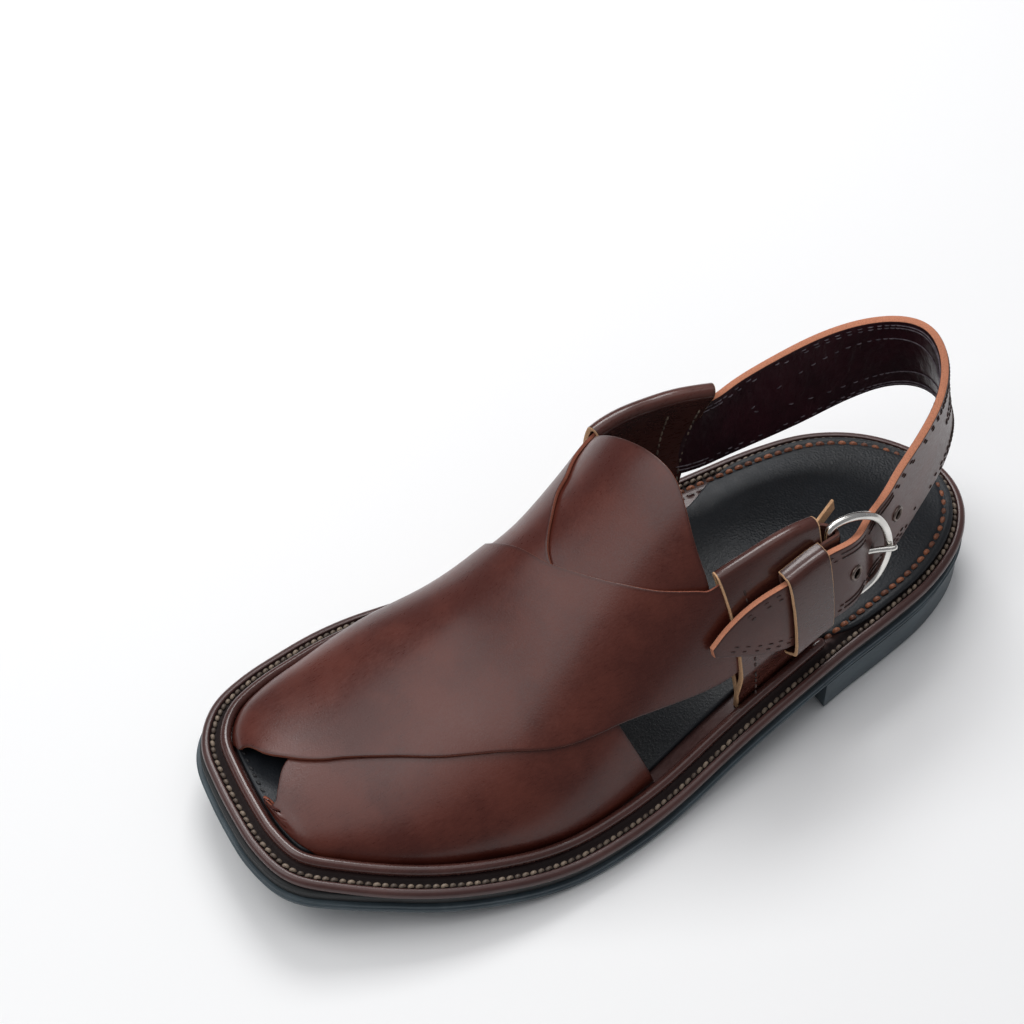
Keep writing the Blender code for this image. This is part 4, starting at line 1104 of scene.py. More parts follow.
@dataclass
class Sole:
    """Outsole, heel, midsole, welt with its stitches and bead, and insole."""

    foot: Footprint
    looks: Finishes
    outsole_thick: float = 3.9 * MM
    midsole_thick: float = 3.8 * MM
    welt_thick: float = 3.9 * MM
    gap: float = 0.3 * MM
    heel_breast: float = 0.1995
    heel_chamfer: float = 1.1 * MM
    bead_inset: float = 4.6 * MM
    bead_radius: float = 1.9 * MM
    bead_inner_end: float = 0.188
    bead_outer_end: float = 0.2015
    insole_thick: float = 1.8 * MM
    insole_pad: float = 1.6 * MM
    welt_width: float = 12.5 * MM
    heel_setback: float = 0.2 * MM
    heel_spine: tuple = (0.215, 0.250)
    heel_points: int = 300
    breast_points: int = 40
    pad_along: float = 0.235
    pad_half: tuple = (0.028, 0.0425)
    insole_seam_inset: float = 4.4 * MM
    welt_seam: Seam = Seam(2.75 * MM, 2.5 * MM, 1.35 * MM, 12.0, 0.2)
    heel_seam: Seam = Seam(4.0 * MM, 3.1 * MM, 1.7 * MM, -8.0, 0.3)
    toe_seam: Seam = Seam(3.2 * MM, 2.3 * MM, 0.8 * MM, 20.0)
    # The outsole's side with its raised line, in millimetres: height over the tread, inset from the rim.
    outsole_side: tuple = (
        (0.0, 1.1), (0.10, 0.6), (0.35, 0.15), (0.75, 0.0), (1.872, 0.0), (2.028, -0.28), (2.223, -0.45),
        (2.535, -0.45), (2.73, -0.28), (2.886, 0.0), (3.55, 0.0), (3.80, 0.12), (3.9, 0.4),
    )
    # The welt's groove, in millimetres: height over the welt's top, inset from the stitch row.
    groove: tuple = (
        (-0.10, -1.15), (-0.50, -1.00), (-0.95, -0.85), (-1.25, -0.55), (-1.30, 0.10), (-1.25, 0.90),
        (-1.05, 1.50), (-0.60, 2.00), (-0.25, 2.60), (-0.10, 4.60),
    )
    # The insole's edge: share of the length, inset from the stitch row as a share of the welt's width.
    insole_edge: tuple = (
        (0.000, 0.60), (0.025, 0.60), (0.070, 0.98), (0.115, 0.86), (0.440, 0.88), (0.500, 0.96),
        (0.690, 0.96), (0.735, 0.35), (0.775, 0.10), (0.860, 0.09), (1.000, 0.09),
    )
    cover_shares: Array = field(default_factory=lambda: 1 - (1 - np.linspace(0, 1, 34)) ** 1.5)

    def plate(self, work: Patchwork, rows: Any, under: float, over: float) -> None:
        """Adds stacked rings closed by covers that shrink on to the middle line.

        Args:
            work: Where the rings go.
            rows: Rows of (height over the tread, inset, whether from the rim).
            under: Height of the lower cover over the tread.
            over: Height of the upper cover over the tread.
        """
        foot = self.foot
        rings = foot.rings(rows)
        work.grids(rings, wrap_v=True)
        for ring, lift, shade in ((rings[0], under, 1.0), (rings[-1], over, 0.0)):
            flat = foot.cover(ring, self.cover_shares)
            up = foot.tread(flat[..., 1]) + lift
            up[0] = ring[:, 2]
            mark = np.full(up.shape, shade)
            mark[0] = 0.0
            work.grids(np.concatenate([flat, up[..., None]], 2), wrap_v=True, shade=mark)

    def build_outsole(self) -> None:
        """The rubber sheet, with a fine raised line round its side."""
        rows = [(height * MM, inset * MM, True) for height, inset in self.outsole_side]
        work = Patchwork()
        self.plate(work, rows, 0.0, self.outsole_thick)
        show(work.make("outsole_rubber", [self.looks.rubber]), "sole_rubber", "outsole")

    def build_heel(self) -> None:
        """The heel block: the outline behind the breast line, closed by a straight breast."""
        foot = self.foot
        work = Patchwork()
        rings = []
        top = foot.heel_lift - self.gap
        c = self.heel_chamfer
        rows = ((c, c, 0.0), (0.35 * c, 0.3 * c, 0.3 * c), (0.0, 0.0, c), (0.0, 0.0, top))
        for inset, breast, lift in rows:
            line = self.heel_breast + breast
            fine = foot.loop + foot.out * (foot.margin - self.heel_setback - inset)[:, None]
            behind = np.flatnonzero(fine[:, 1] > line)
            arc = evenly(fine[behind], self.heel_points, False)
            arc[0, 1] = arc[-1, 1] = line
            across = np.linspace(arc[-1, 0], arc[0, 0], self.breast_points + 2)[1:-1]
            flat = np.vstack([arc, np.column_stack([across, np.full(self.breast_points, line)])])
            rings.append(np.column_stack([flat, np.full(len(flat), lift)]))
        rings = np.array(rings)
        work.grids(rings, wrap_v=True)
        spine = np.column_stack([np.zeros(len(rings[0])), np.clip(rings[0][:, 1], *self.heel_spine)])
        for ring, shade in ((rings[0], 1.0), (rings[-1], 0.0)):
            shares = np.linspace(0, 1, 12)[:, None, None]
            flat = ring[None, :, :2] * (1 - shares) + spine[None] * shares
            up = np.full(flat.shape[:2] + (1,), ring[0, 2])
            work.grids(np.concatenate([flat, up], 2), wrap_v=True, shade=shade)
        show(work.make("heel_rubber", [self.looks.rubber], 38.0), "sole_rubber", "heel")

    def build_midsole(self) -> None:
        """The black layer, set back under the welt."""
        base = self.outsole_thick + self.gap
        top = base + self.midsole_thick
        work = Patchwork()
        rows = [(base, 1.5 * MM, True), (base + 0.3 * MM, 1.2 * MM, True), (top - 0.3 * MM, 1.2 * MM, True)]
        self.plate(work, rows + [(top, 1.5 * MM, True)], base, top)
        show(work.make("midsole_layer", [self.looks.midsole]), "midsole_black", "midsole")

    def build_welt(self) -> None:
        """The welt: a rolled rim, a sunk groove for the stitches, and a flat inner part."""
        foot = self.foot
        top = foot.welt_top
        base = top - self.welt_thick
        half = 0.5 * self.welt_thick
        rows = []
        for a in np.radians(np.linspace(-90, 90, 15)):
            rows.append((base + half + half * math.sin(a), (-1.5 - 2.2 * math.cos(a) ** 0.8) * MM, False))
        rows += [(top + height * MM, inset * MM, False) for height, inset in self.groove]
        rows += [(top, self.welt_width, False), (base, self.welt_width, False)]
        rings = foot.rings(rows)
        inset = np.array([row[1] for row in rows]) / MM
        # Painted shade: the groove rows carry the shade mark, so the welt's finish paints the recess near
        # black.
        shade = step_up(inset, -1.15, -0.75) * (1 - step_up(inset, 2.2, 4.5))
        work = Patchwork()
        work.hoop(rings, shade=np.repeat(shade[:, None], foot.points, 1))
        line = foot.ring(top - 0.62 * MM, 0.1 * MM)
        up = np.tile(UP, (foot.points, 1))
        work.stitches(line, up, self.welt_seam, 1, True)
        looks = [self.looks.welt, self.looks.grey_thread]
        show(work.make("welt_with_stitches", looks), "welt_leather", "welt")

    def build_bead(self) -> None:
        """The glossy bead on the welt, from the inner quarter round the toe to the outer quarter."""
        foot = self.foot
        line = foot.loop - foot.out * self.bead_inset
        up = foot.tread(line[:, 1]) + foot.welt_top + 0.1 * MM + self.bead_radius
        line = np.column_stack([line, up])
        end = np.where(line[:, 0] > 0, self.bead_outer_end, self.bead_inner_end)
        front = line[:, 1] < end
        start = np.flatnonzero(front & ~np.roll(front, 1))[0]
        path = np.roll(line, -start, 0)[: front.sum()]
        work = Patchwork()
        work.tube(path, self.bead_radius, 14, False)
        show(work.make("welt_bead_roll", [self.looks.bead]), "welt_leather", "welt_bead")

    def insole_height(self, flat: Array) -> tuple[Array, Array]:
        """The heel pad is a raised oval, and the stitch line a bell-shaped groove.

        Args:
            flat: Points (across, along).

        Returns:
            How far the cover rises or sinks at each point, and how far each lies on the pad.
        """
        wide, long = self.pad_half
        reach = ((flat[..., 1] - self.pad_along) / long) ** 2 + (flat[..., 0] / wide) ** 2
        pad = step_up(1.7 - reach, 0.0, 1.3)
        away = self.foot.from_row(flat)
        behind = step_up(flat[..., 1] / self.foot.length, 0.64, 0.70)
        groove = np.exp(-(((away - self.insole_seam_inset) / (0.85 * MM)) ** 2)) * behind
        return self.insole_pad * pad - 0.55 * MM * groove, pad

    def build_insole(self) -> None:
        """The black leather footbed: a rounded edge, a sunk stitch line and the heel pad."""
        foot = self.foot
        edge = table_value(self.insole_edge, foot.loop[:, 1] / foot.length)[:, 0] * self.welt_width
        edge = softened(edge[:, None], 6.0, True)[:, 0]
        board = self.welt_width + self.gap
        low = foot.welt_top - self.welt_thick
        step = foot.welt_top + self.gap
        top = step + self.insole_thick
        rows = [(low, board), (step, board), (step, edge), (step + 0.5 * MM, edge - 0.15 * MM)]
        rows += [(step + 1.2 * MM, edge), (top - 0.15 * MM, edge + 0.35 * MM), (top, edge + 0.9 * MM)]
        rings = np.stack([foot.ring(lift, inset) for lift, inset in rows])
        work = Patchwork()
        work.grids(rings, wrap_v=True)
        inward = 1 - (1 - np.linspace(0, 1, 40)[1:]) ** 1.2
        shares = np.concatenate([np.linspace(0, 0.26, 26), 0.26 + 0.74 * inward])
        flat = foot.cover(rings[-1], shares)
        extra, pad = self.insole_height(flat)
        up = foot.tread(flat[..., 1]) + top + extra
        up[0] = rings[-1][:, 2]
        work.grids(np.concatenate([flat, up[..., None]], 2), wrap_v=True, shade=pad)
        flat = foot.cover(rings[0], np.linspace(0, 1, 12))
        up = foot.tread(flat[..., 1]) + low
        work.grids(np.concatenate([flat, up[..., None]], 2), wrap_v=True)
        line = foot.ring(top - 0.15 * MM, self.insole_seam_inset)
        number = np.arange(foot.points)
        behind = line[:, 1] > 0.62 * foot.length
        first = number[behind & (line[:, 0] > 0)].min()
        row = np.roll(line, -first, 0)[: behind.sum()]
        work.stitches(row, np.tile(UP, (len(row), 1)), self.heel_seam, 1)
        rows = foot.ring(top + 0.05 * MM, edge + 1.7 * MM)
        front = rows[:, 1] < 0.30 * foot.length
        first = number[~front].max() + 1
        row = np.roll(rows, -first, 0)[: front.sum() - 1]
        work.stitches(row, np.tile(UP, (len(row), 1)), self.toe_seam, 2)
        looks = [self.looks.insole, self.looks.orange_thread, self.looks.black_thread]
        show(work.make("insole_cover", looks), "insole_cover", "insole")

    def build(self) -> None:
        """Builds every layer."""
        self.build_outsole()
        self.build_heel()
        self.build_midsole()
        self.build_welt()
        self.build_bead()
        self.build_insole()


@dataclass
class Vamp:
    """Two crossing bands over a rounded tongue."""

    last: Last
    looks: Finishes
    leather: float = 1.3 * MM
    edge_radius: float = 0.25 * MM
    foot_swell: float = 0.7 * MM
    under_off: float = 0.5 * MM
    over_off: float = 1.9 * MM
    band_reach: float = 0.16
    band_grid: tuple = (190, 110)
    tongue_leather: float = 1.4 * MM
    tongue_off: float = -0.3 * MM
    tongue_start: float = 0.370
    tongue_girths: tuple = (0.2, 0.59)
    # Edges of the bands: share of the length, girth.
    over_front: tuple = (
        (0.0490, 0.000), (0.0475, 0.110), (0.0470, 0.230), (0.055, 0.413), (0.077, 0.499), (0.105, 0.547),
        (0.132, 0.571), (0.186, 0.623), (0.224, 0.662), (0.284, 0.708), (0.345, 0.768), (0.391, 0.798),
        (0.415, 0.811), (0.466, 0.847), (0.521, 0.891), (0.561, 0.915), (0.606, 0.925),
    )
    over_rear: tuple = (
        (0.447, 0.000), (0.442, 0.028), (0.421, 0.138), (0.409, 0.262), (0.411, 0.330), (0.420, 0.412),
        (0.430, 0.490), (0.441, 0.528), (0.467, 0.590), (0.482, 0.621), (0.513, 0.681), (0.551, 0.736),
        (0.564, 0.750), (0.606, 0.757),
    )
    under_front: tuple = (
        (0.0570, 1.000), (0.0460, 0.930), (0.0365, 0.860), (0.0320, 0.780), (0.0335, 0.700), (0.0390, 0.625),
        (0.0504, 0.556), (0.0775, 0.492), (0.160, 0.450), (0.250, 0.380), (0.340, 0.270), (0.421, 0.138),
        (0.466, 0.109), (0.507, 0.086), (0.570, 0.070), (0.606, 0.062),
    )
    under_rear: tuple = (
        (0.452, 1.000), (0.437, 0.933), (0.424, 0.869), (0.416, 0.817), (0.411, 0.760), (0.413, 0.680),
        (0.424, 0.580), (0.436, 0.499), (0.447, 0.458), (0.463, 0.416), (0.491, 0.351), (0.511, 0.327),
        (0.541, 0.268), (0.568, 0.246), (0.606, 0.236),
    )
    # Rear edge of the tongue: girth, share of the length.
    tongue_rear: tuple = (
        (0.200, 0.555), (0.252, 0.566), (0.324, 0.564), (0.400, 0.569), (0.460, 0.576), (0.516, 0.581),
        (0.555, 0.580), (0.600, 0.574), (0.652, 0.567), (0.700, 0.564), (0.747, 0.564), (0.790, 0.560),
    )

    def band(self, name: str, front: Any, rear: Any, under: float) -> bpy.types.Object:
        """A band: straight rulings on the flattened form join its two edges, foot to quarter.

        Args:
            name: Name of the object.
            front: Rows of its front edge.
            rear: Rows of its rear edge.
            under: Distance of its flesh side off the last.

        Returns:
            The band.
        """
        rounding = self.edge_radius / self.band_reach
        u, v = eased(self.band_grid[0], rounding), eased(self.band_grid[1], rounding * 2)
        front, rear = self.last.edge(front), self.last.edge(rear)
        share = np.linspace(0, 1, len(front))
        first, second = (np.stack([np.interp(u, share, e[:, k]) for k in (0, 1)], 1) for e in (front, rear))
        places = first[:, None] * (1 - v[None, :, None]) + second[:, None] * v[None, :, None]
        off = under + 0.5 * self.leather + self.creases(places[..., 0], places[..., 1])
        off = off + self.foot_swell * (1 - step_up(places[..., 1], 0.0, 0.35))
        middle = self.last.at(places[..., 0], places[..., 1], off)
        work = Patchwork()
        work.slab(middle, self.leather, self.edge_radius, turn=self.turn(middle))
        return work.make(name, [self.looks.vamp])

    def turn(self, middle: Array) -> float:
        """1 where the grid's normals point up, else -1."""
        up = np.cross(np.gradient(middle, axis=0), np.gradient(middle, axis=1))[..., 2]
        return 1.0 if up.mean() > 0 else -1.0

    def creases(self, along: Array, girth: Array) -> Array:
        """Soft swells of the worn leather: a slow wave and one shallow line across the ball of the foot.

        Args:
            along: Places along.
            girth: Places around.

        Returns:
            Height off the band's own form.
        """
        swell = 0.35 * MM * np.sin((along * 95 + girth * 5.0)) * np.exp(-(((along - 0.085) / 0.05) ** 2))
        line = 0.117 + 0.02 * (girth - 0.6)
        flex = -0.30 * MM * np.exp(-(((along - line) / 0.006) ** 2)) * step_up(girth, 0.45, 0.8)
        return swell + flex

    def build_tongue(self) -> bpy.types.Object:
        """The tongue: rulings along the foot from under the bands to the rounded rear edge.

        Returns:
            The tongue.
        """
        low, wide = self.tongue_girths
        girth = low + wide * eased(120, 0.004)
        share = eased(70, 0.006)
        rear = softened(evenly(through(self.tongue_rear, False), 200, False), 4.0)
        end = np.interp(girth, rear[:, 0], rear[:, 1]) * self.last.foot.length
        start = self.tongue_start * self.last.foot.length
        along = start + (end[:, None] - start) * share[None]
        middle = self.last.at(along, girth[:, None], self.tongue_off)
        work = Patchwork()
        work.slab(middle, self.tongue_leather, self.edge_radius, turn=self.turn(middle))
        return work.make("tongue", [self.looks.vamp])

    def build(self) -> None:
        """Builds the tongue, the under band and the over band."""
        show(self.build_tongue(), "upper_leather", "upper")
        under = self.band("under_band", self.under_front, self.under_rear, self.under_off)
        show(under, "upper_leather", "upper")
        over = self.band("over_band", self.over_front, self.over_rear, self.over_off)
        show(over, "upper_leather", "upper")


@dataclass
class Quarter:
    """A tab of leather folded over the bands' ends, with a roll at its top and sewn columns.

    Ends holds rows of rise, front and rear share of the length, and roll rows of that share and girth.
    Columns holds rows of share between the ends, lowest and highest rise, face and thread.
    """

    last: Last
    looks: Finishes
    outer_side: bool
    ends: tuple
    roll: tuple
    columns: tuple
    ply: float = 1.8 * MM
    out: float = 4.6 * MM
    into: float = 1.5 * MM
    foot_out: float = 1.8 * MM
    raw: float = 0.3 * MM
    edge_radius: float = 0.15 * MM
    seam: Seam = Seam(3.0 * MM, 2.3 * MM, 0.75 * MM)

    def middle_surface(self, stations: Array, rise: Array) -> Array:
        """Middle of the fold: up the outer ply, half a circle over the roll, and down the inner ply.

        Args:
            stations: Shares from the front edge to the rear one.
            rise: Shares from the foot to the roll.

        Returns:
            Points (station, step, 3).
        """
        length = self.last.foot.length
        rows = table_value(self.ends, rise)
        along = (rows[None, :, 0] + stations[:, None] * (rows[None, :, 1] - rows[None, :, 0])) * length
        top = table_value(self.roll, along / length)[..., 0]
        girth = 1 - rise * (1 - top) if self.outer_side else rise * top
        swell = step_up(rise, 0.06, 0.30)
        half = 0.5 * self.ply
        out = self.foot_out + (self.out - self.foot_out) * swell - half
        into = 0.3 * MM - (self.into + 0.3 * MM) * swell + half
        outer = self.last.at(along, girth, out)
        inner = self.last.at(along, girth, into)
        centre = 0.5 * (outer[:, -1] + inner[:, -1])
        reach = outer[:, -1] - centre
        radius = np.linalg.norm(reach, axis=1)
        upward = unit(outer[:, -1] - outer[:, -2]) * radius[:, None]
        turn = np.radians(np.linspace(0, 180, 19)[1:-1])[None, :, None]
        arc = centre[:, None] + reach[:, None] * np.cos(turn) + upward[:, None] * np.sin(turn)
        return np.concatenate([outer, arc, inner[:, ::-1]], 1)

    def face(self, share: Array, rise: Array, side: float) -> tuple[Array, Array]:
        """A line on the quarter.

        Args:
            share: Shares from the front edge to the rear one.
            rise: Shares from the foot to the roll.
            side: 1 for the outer face, -1 for the inner one.

        Returns:
            Points and normals.
        """
        rows = table_value(self.ends, rise)
        along = (rows[:, 0] + share * (rows[:, 1] - rows[:, 0])) * self.last.foot.length
        top = table_value(self.roll, along / self.last.foot.length)[:, 0]
        girth = 1 - rise * (1 - top) if self.outer_side else rise * top
        off = self.out if side > 0 else -self.into
        point = self.last.at(along, girth, off)
        return point, unit(self.last.at(along, girth, off + side * MM) - point)

    def build(self) -> None:
        """Builds the fold and its stitches."""
        name = "lateral" if self.outer_side else "medial"
        stations = eased(60, 0.008)
        rise = np.concatenate([[0.0, 0.004, 0.015], np.linspace(0.03, 1, 46)])
        middle = self.middle_surface(stations, rise)
        work = Patchwork()
        out = unit(np.cross(np.gradient(middle, axis=0), np.gradient(middle, axis=1)))[30, 20]
        sign = 1.0 if (out[0] > 0) == self.outer_side else -1.0
        work.slab(middle, self.ply, self.edge_radius, turn=sign, raw=self.raw)
        for share, low, high, side, thread in self.columns:
            climb = np.linspace(low, high, 60)
            line, normal = self.face(np.full(len(climb), share), climb, side)
            work.stitches(line, normal, self.seam, thread)
        looks = [self.looks.quarter, self.looks.brown_thread, self.looks.grey_thread]
        show(work.make(f"quarter_{name}_fold", looks), "strap_leather", f"quarter_{name}")


@dataclass
class HeelStrap:
    """Two plies round the heel, sewn along both edges, with punched holes and two eyelets."""

    last: Last
    looks: Finishes
    thick: float = 2.8 * MM
    quarter_out: float = 4.6 * MM
    edge_radius: float = 0.4 * MM
    painted_shade: float = 2.15 * MM
    wall: float = 0.4 * MM
    prong_hole: float = 1.7 * MM
    flange: float = 2.95 * MM
    outer_insets: tuple = (2.2 * MM, 4.2 * MM)
    lining_insets: tuple = (2.0 * MM, 3.7 * MM)
    seam: Seam = Seam(2.3 * MM, 1.95 * MM, 0.5 * MM, proud=0.4)
    # Share of the strap's length from its tip, and whether the hole has an eyelet.
    holes: tuple = ((0.238, True), (0.292, False), (0.357, True))
    # Upper edge's along, across and height shares, then the lower edge's.
    heel_rows: tuple = (
        (0.708, -0.345, 0.845, 0.668, -0.334, 0.500), (0.737, -0.322, 0.878, 0.703, -0.300, 0.512),
        (0.768, -0.317, 0.933, 0.757, -0.303, 0.500), (0.816, -0.294, 1.012, 0.813, -0.293, 0.512),
        (0.869, -0.258, 1.098, 0.866, -0.275, 0.546), (0.913, -0.200, 1.177, 0.915, -0.244, 0.622),
        (0.947, -0.125, 1.232, 0.957, -0.193, 0.707), (0.963, -0.042, 1.250, 0.985, -0.122, 0.762),
        (0.956, 0.050, 1.207, 0.996, -0.040, 0.774), (0.929, 0.125, 1.140, 0.988, 0.042, 0.744),
        (0.888, 0.179, 1.073, 0.960, 0.108, 0.672), (0.842, 0.222, 1.000, 0.915, 0.168, 0.622),
        (0.825, 0.242, 0.971, 0.876, 0.215, 0.603), (0.809, 0.258, 0.948, 0.838, 0.262, 0.583),
    )
    # Along share, girth of the upper and the lower edge, offset as a share of the quarter's.
    front_rows: tuple = (
        (0.794, 0.824, 0.936, 0.40), (0.776, 0.826, 0.931, 0.90), (0.758, 0.824, 0.930, 1.52),
        (0.740, 0.820, 0.930, 1.92), (0.720, 0.816, 0.930, 1.90), (0.690, 0.815, 0.930, 1.80),
        (0.655, 0.818, 0.927, 1.80), (0.625, 0.811, 0.912, 1.74), (0.598, 0.808, 0.895, 1.60),
        (0.568, 0.812, 0.866, 1.42), (0.541, 0.822, 0.836, 1.34),
    )

    def __post_init__(self) -> None:
        """Works out the strap's three lines and its frame."""
        length, width = self.last.foot.length, self.last.foot.width
        front = np.array(self.front_rows)[::-1]
        along, off = front[:, 0] * length, front[:, 3] * self.quarter_out
        heel = np.array(self.heel_rows)[::-1] * np.tile([length, width, self.last.instep], 2)
        upper_heel, lower_heel = heel[:, [1, 0, 2]], heel[:, [4, 3, 5]]
        centre, centre_heel = 0.5 * (front[:, 1] + front[:, 2]), 0.5 * (upper_heel + lower_heel)
        upper = np.vstack([self.last.at(along, front[:, 1], off), upper_heel])
        lower = np.vstack([self.last.at(along, front[:, 2], off), lower_heel])
        middle = np.vstack([self.last.at(along, centre, off), centre_heel])
        lines = softened(evenly(through(np.hstack([upper, middle, lower]), False), 480, False), 7.0)
        self.upper, self.middle, self.lower = lines[:, :3], lines[:, 3:6], lines[:, 6:]
        run = np.linalg.norm(np.diff(self.middle, axis=0), axis=1)
        self.run = np.concatenate([[0], np.cumsum(run)])
        wide = unit(self.upper - self.lower)
        normal = unit(np.cross(np.gradient(self.middle, axis=0), wide))
        self.normal = normal if normal[0, 0] > 0 else -normal
        self.width = np.linalg.norm(self.upper - self.lower, axis=1)

    def surface(self, at: Array, share: Array, off: Any = 0.0) -> Array:
        """Points of the strap: at each station a parabola passes the lower edge, middle and upper edge.

        Args:
            at: Distance from the tip as a share of the strap's length.
            share: 0 at the lower edge and 1 at the upper one.
            off: Distance off the middle surface, outwards.

        Returns:
            The points.
        """
        at, share, off = np.broadcast_arrays(*(np.asarray(x, float) for x in (at, share, off)))
        run = self.middle_point(at + 0.002, share) - self.middle_point(at - 0.002, share)
        rise = self.middle_point(at, share + 0.01) - self.middle_point(at, share - 0.01)
        normal = unit(np.cross(run, rise))
        normal *= np.sign((normal * self.along_lines(at, self.normal)).sum(-1))[..., None]
        return self.middle_point(at, share) + normal * off[..., None]

    def along_lines(self, at: Array, line: Array) -> Array:
        """The value of one of the strap's lines at each share of its length."""
        known = self.run / self.run[-1]
        return np.stack([np.interp(at, known, line[:, k]) for k in range(3)], -1)

    def middle_point(self, at: Array, share: Array) -> Array:
        """Points of the middle surface: the parabola's three weights are those of its known points.

        Args:
            at: Distance from the tip as a share of the strap's length.
            share: 0 at the lower edge and 1 at the upper one.

        Returns:
            The points.
        """
        s = share[..., None]
        low, mid, high = (self.along_lines(at, line) for line in (self.lower, self.middle, self.upper))
        return low * (1 - s) * (1 - 2 * s) + mid * 4 * s * (1 - s) + high * s * (2 * s - 1)

    def row(self, at: Array, inset: Array, off: float) -> tuple[Array, Array]:
        """A stitch line on a face of the strap.

        Args:
            at: Distance from the tip as a share of the strap's length.
            inset: Distance from the upper edge, or from the lower one where negative.
            off: Distance of the face off the middle surface.

        Returns:
            Points and normals.
        """
        width = np.interp(at, self.run / self.run[-1], self.width)
        share = np.where(inset > 0, 1 - inset / width, -inset / width)
        point = self.surface(at, share, off)
        return point, unit(self.surface(at, share, off * 2) - point)

    def edge_rows(self, work: Patchwork, off: float, slot: int, insets: tuple, start: float) -> None:
        """Adds rows of stitches that follow both edges and meet near the tip.

        Args:
            work: Where the stitches go.
            off: Distance of the face off the middle surface.
            slot: Material slot of the thread.
            insets: Distance of each row from the edge.
            start: Where the rows begin, as a share of the strap's length.
        """
        known = self.run / self.run[-1]
        for inset in insets:
            first = max(start, float(np.interp(2.6 * inset, self.width[:60], known[:60])))
            at = np.linspace(first, 0.995, 500)
            for sign in (1, -1):
                line, normal = self.row(at, np.full(len(at), sign * inset), off)
                work.stitches(line, normal, self.seam, slot)

    def panel(self, work: Patchwork, off: float, slot: int) -> None:
        """Adds the almond of stitches at the back of the heel: two bowed lines between two points.

        Args:
            work: Where the stitches go.
            off: Distance of the face off the middle surface.
            slot: Material slot of the thread.
        """
        at = np.linspace(0.505, 0.885, 300)
        bow = np.sin(np.linspace(0, math.pi, len(at))) ** 0.75
        for sign in (1, -1):
            share = 0.5 + sign * 0.27 * bow
            point = self.surface(at, share, off)
            work.stitches(point, unit(self.surface(at, share, off * 2) - point), self.seam, slot)

    def build(self) -> None:
        """Builds the plies, their stitches and the eyelets."""
        at, share = np.meshgrid(eased(330, 0.0016), eased(26, 0.018), indexing="ij")
        work = Patchwork()
        middle = self.surface(at, share)
        normal = np.cross(np.gradient(middle, axis=0), np.gradient(middle, axis=1))[100, 15]
        sign = 1.0 if normal @ self.normal[150] > 0 else -1.0
        work.slab(middle, self.thick, self.edge_radius, 1, sign)
        strap = work.make("heel_strap_plies", [self.looks.strap, self.looks.lining])
        for number, (place, has_eyelet) in enumerate(self.holes):
            centre = self.surface(place, 0.5)
            axis = unit(self.surface(place, 0.5, MM) - centre)
            punched(strap, centre, axis, self.painted_shade if has_eyelet else self.prong_hole, 3 * MM)
            if has_eyelet:
                self.build_eyelet(number, centre, axis)
        show(strap, "strap_leather", "heel_strap")
        work = Patchwork()
        face = 0.5 * self.thick
        self.edge_rows(work, face, 0, self.outer_insets, 0.02)
        self.panel(work, face, 0)
        self.edge_rows(work, -face, 1, self.lining_insets, 0.30)
        self.panel(work, -face, 1)
        looks = [self.looks.brown_thread, self.looks.dull_thread]
        show(work.make("heel_strap_stitches", looks), "strap_leather", "heel_strap")

    def build_eyelet(self, number: int, centre: Array, axis: Array) -> None:
        """A dark rolled rim outside and a bright clenched rim inside, on one barrel.

        Args:
            number: Number of the hole, 0 for the one nearest the tip.
            centre: Middle of the hole.
            axis: Direction off the strap.
        """
        half, bore, lap = 0.5 * self.thick, self.painted_shade - self.wall, 0.05 * MM
        side = unit(np.cross(axis, UP))
        angle = np.linspace(0, math.pi, 9)
        mid, wide = 0.5 * (self.flange + bore), 0.5 * (self.flange - bore)
        rim = [(mid - wide * math.cos(a), half + 0.75 * MM * math.sin(a)) for a in angle]
        work = Patchwork()
        work.turned(centre, axis, side, rim + [(self.flange - 0.2 * MM, half - lap), (bore, half - lap)], 32)
        back = [(mid - wide * 0.85 * math.cos(a), -half - 0.6 * MM * math.sin(a)) for a in angle[::-1]]
        back += [(bore, -half + lap), (bore + 0.4 * MM, -half + lap)]
        work.turned(centre, axis, side, back, 32, 1)
        barrel = [(bore, -half), (self.painted_shade - lap, -half), (self.painted_shade - lap, half), (bore, half)]
        work.turned(centre, axis, side, barrel, 32)
        name = "eyelet_1" if number == 0 else "eyelet_2"
        show(work.make(f"{name}_rim", [self.looks.antique, self.looks.nickel]), "nickel", name)


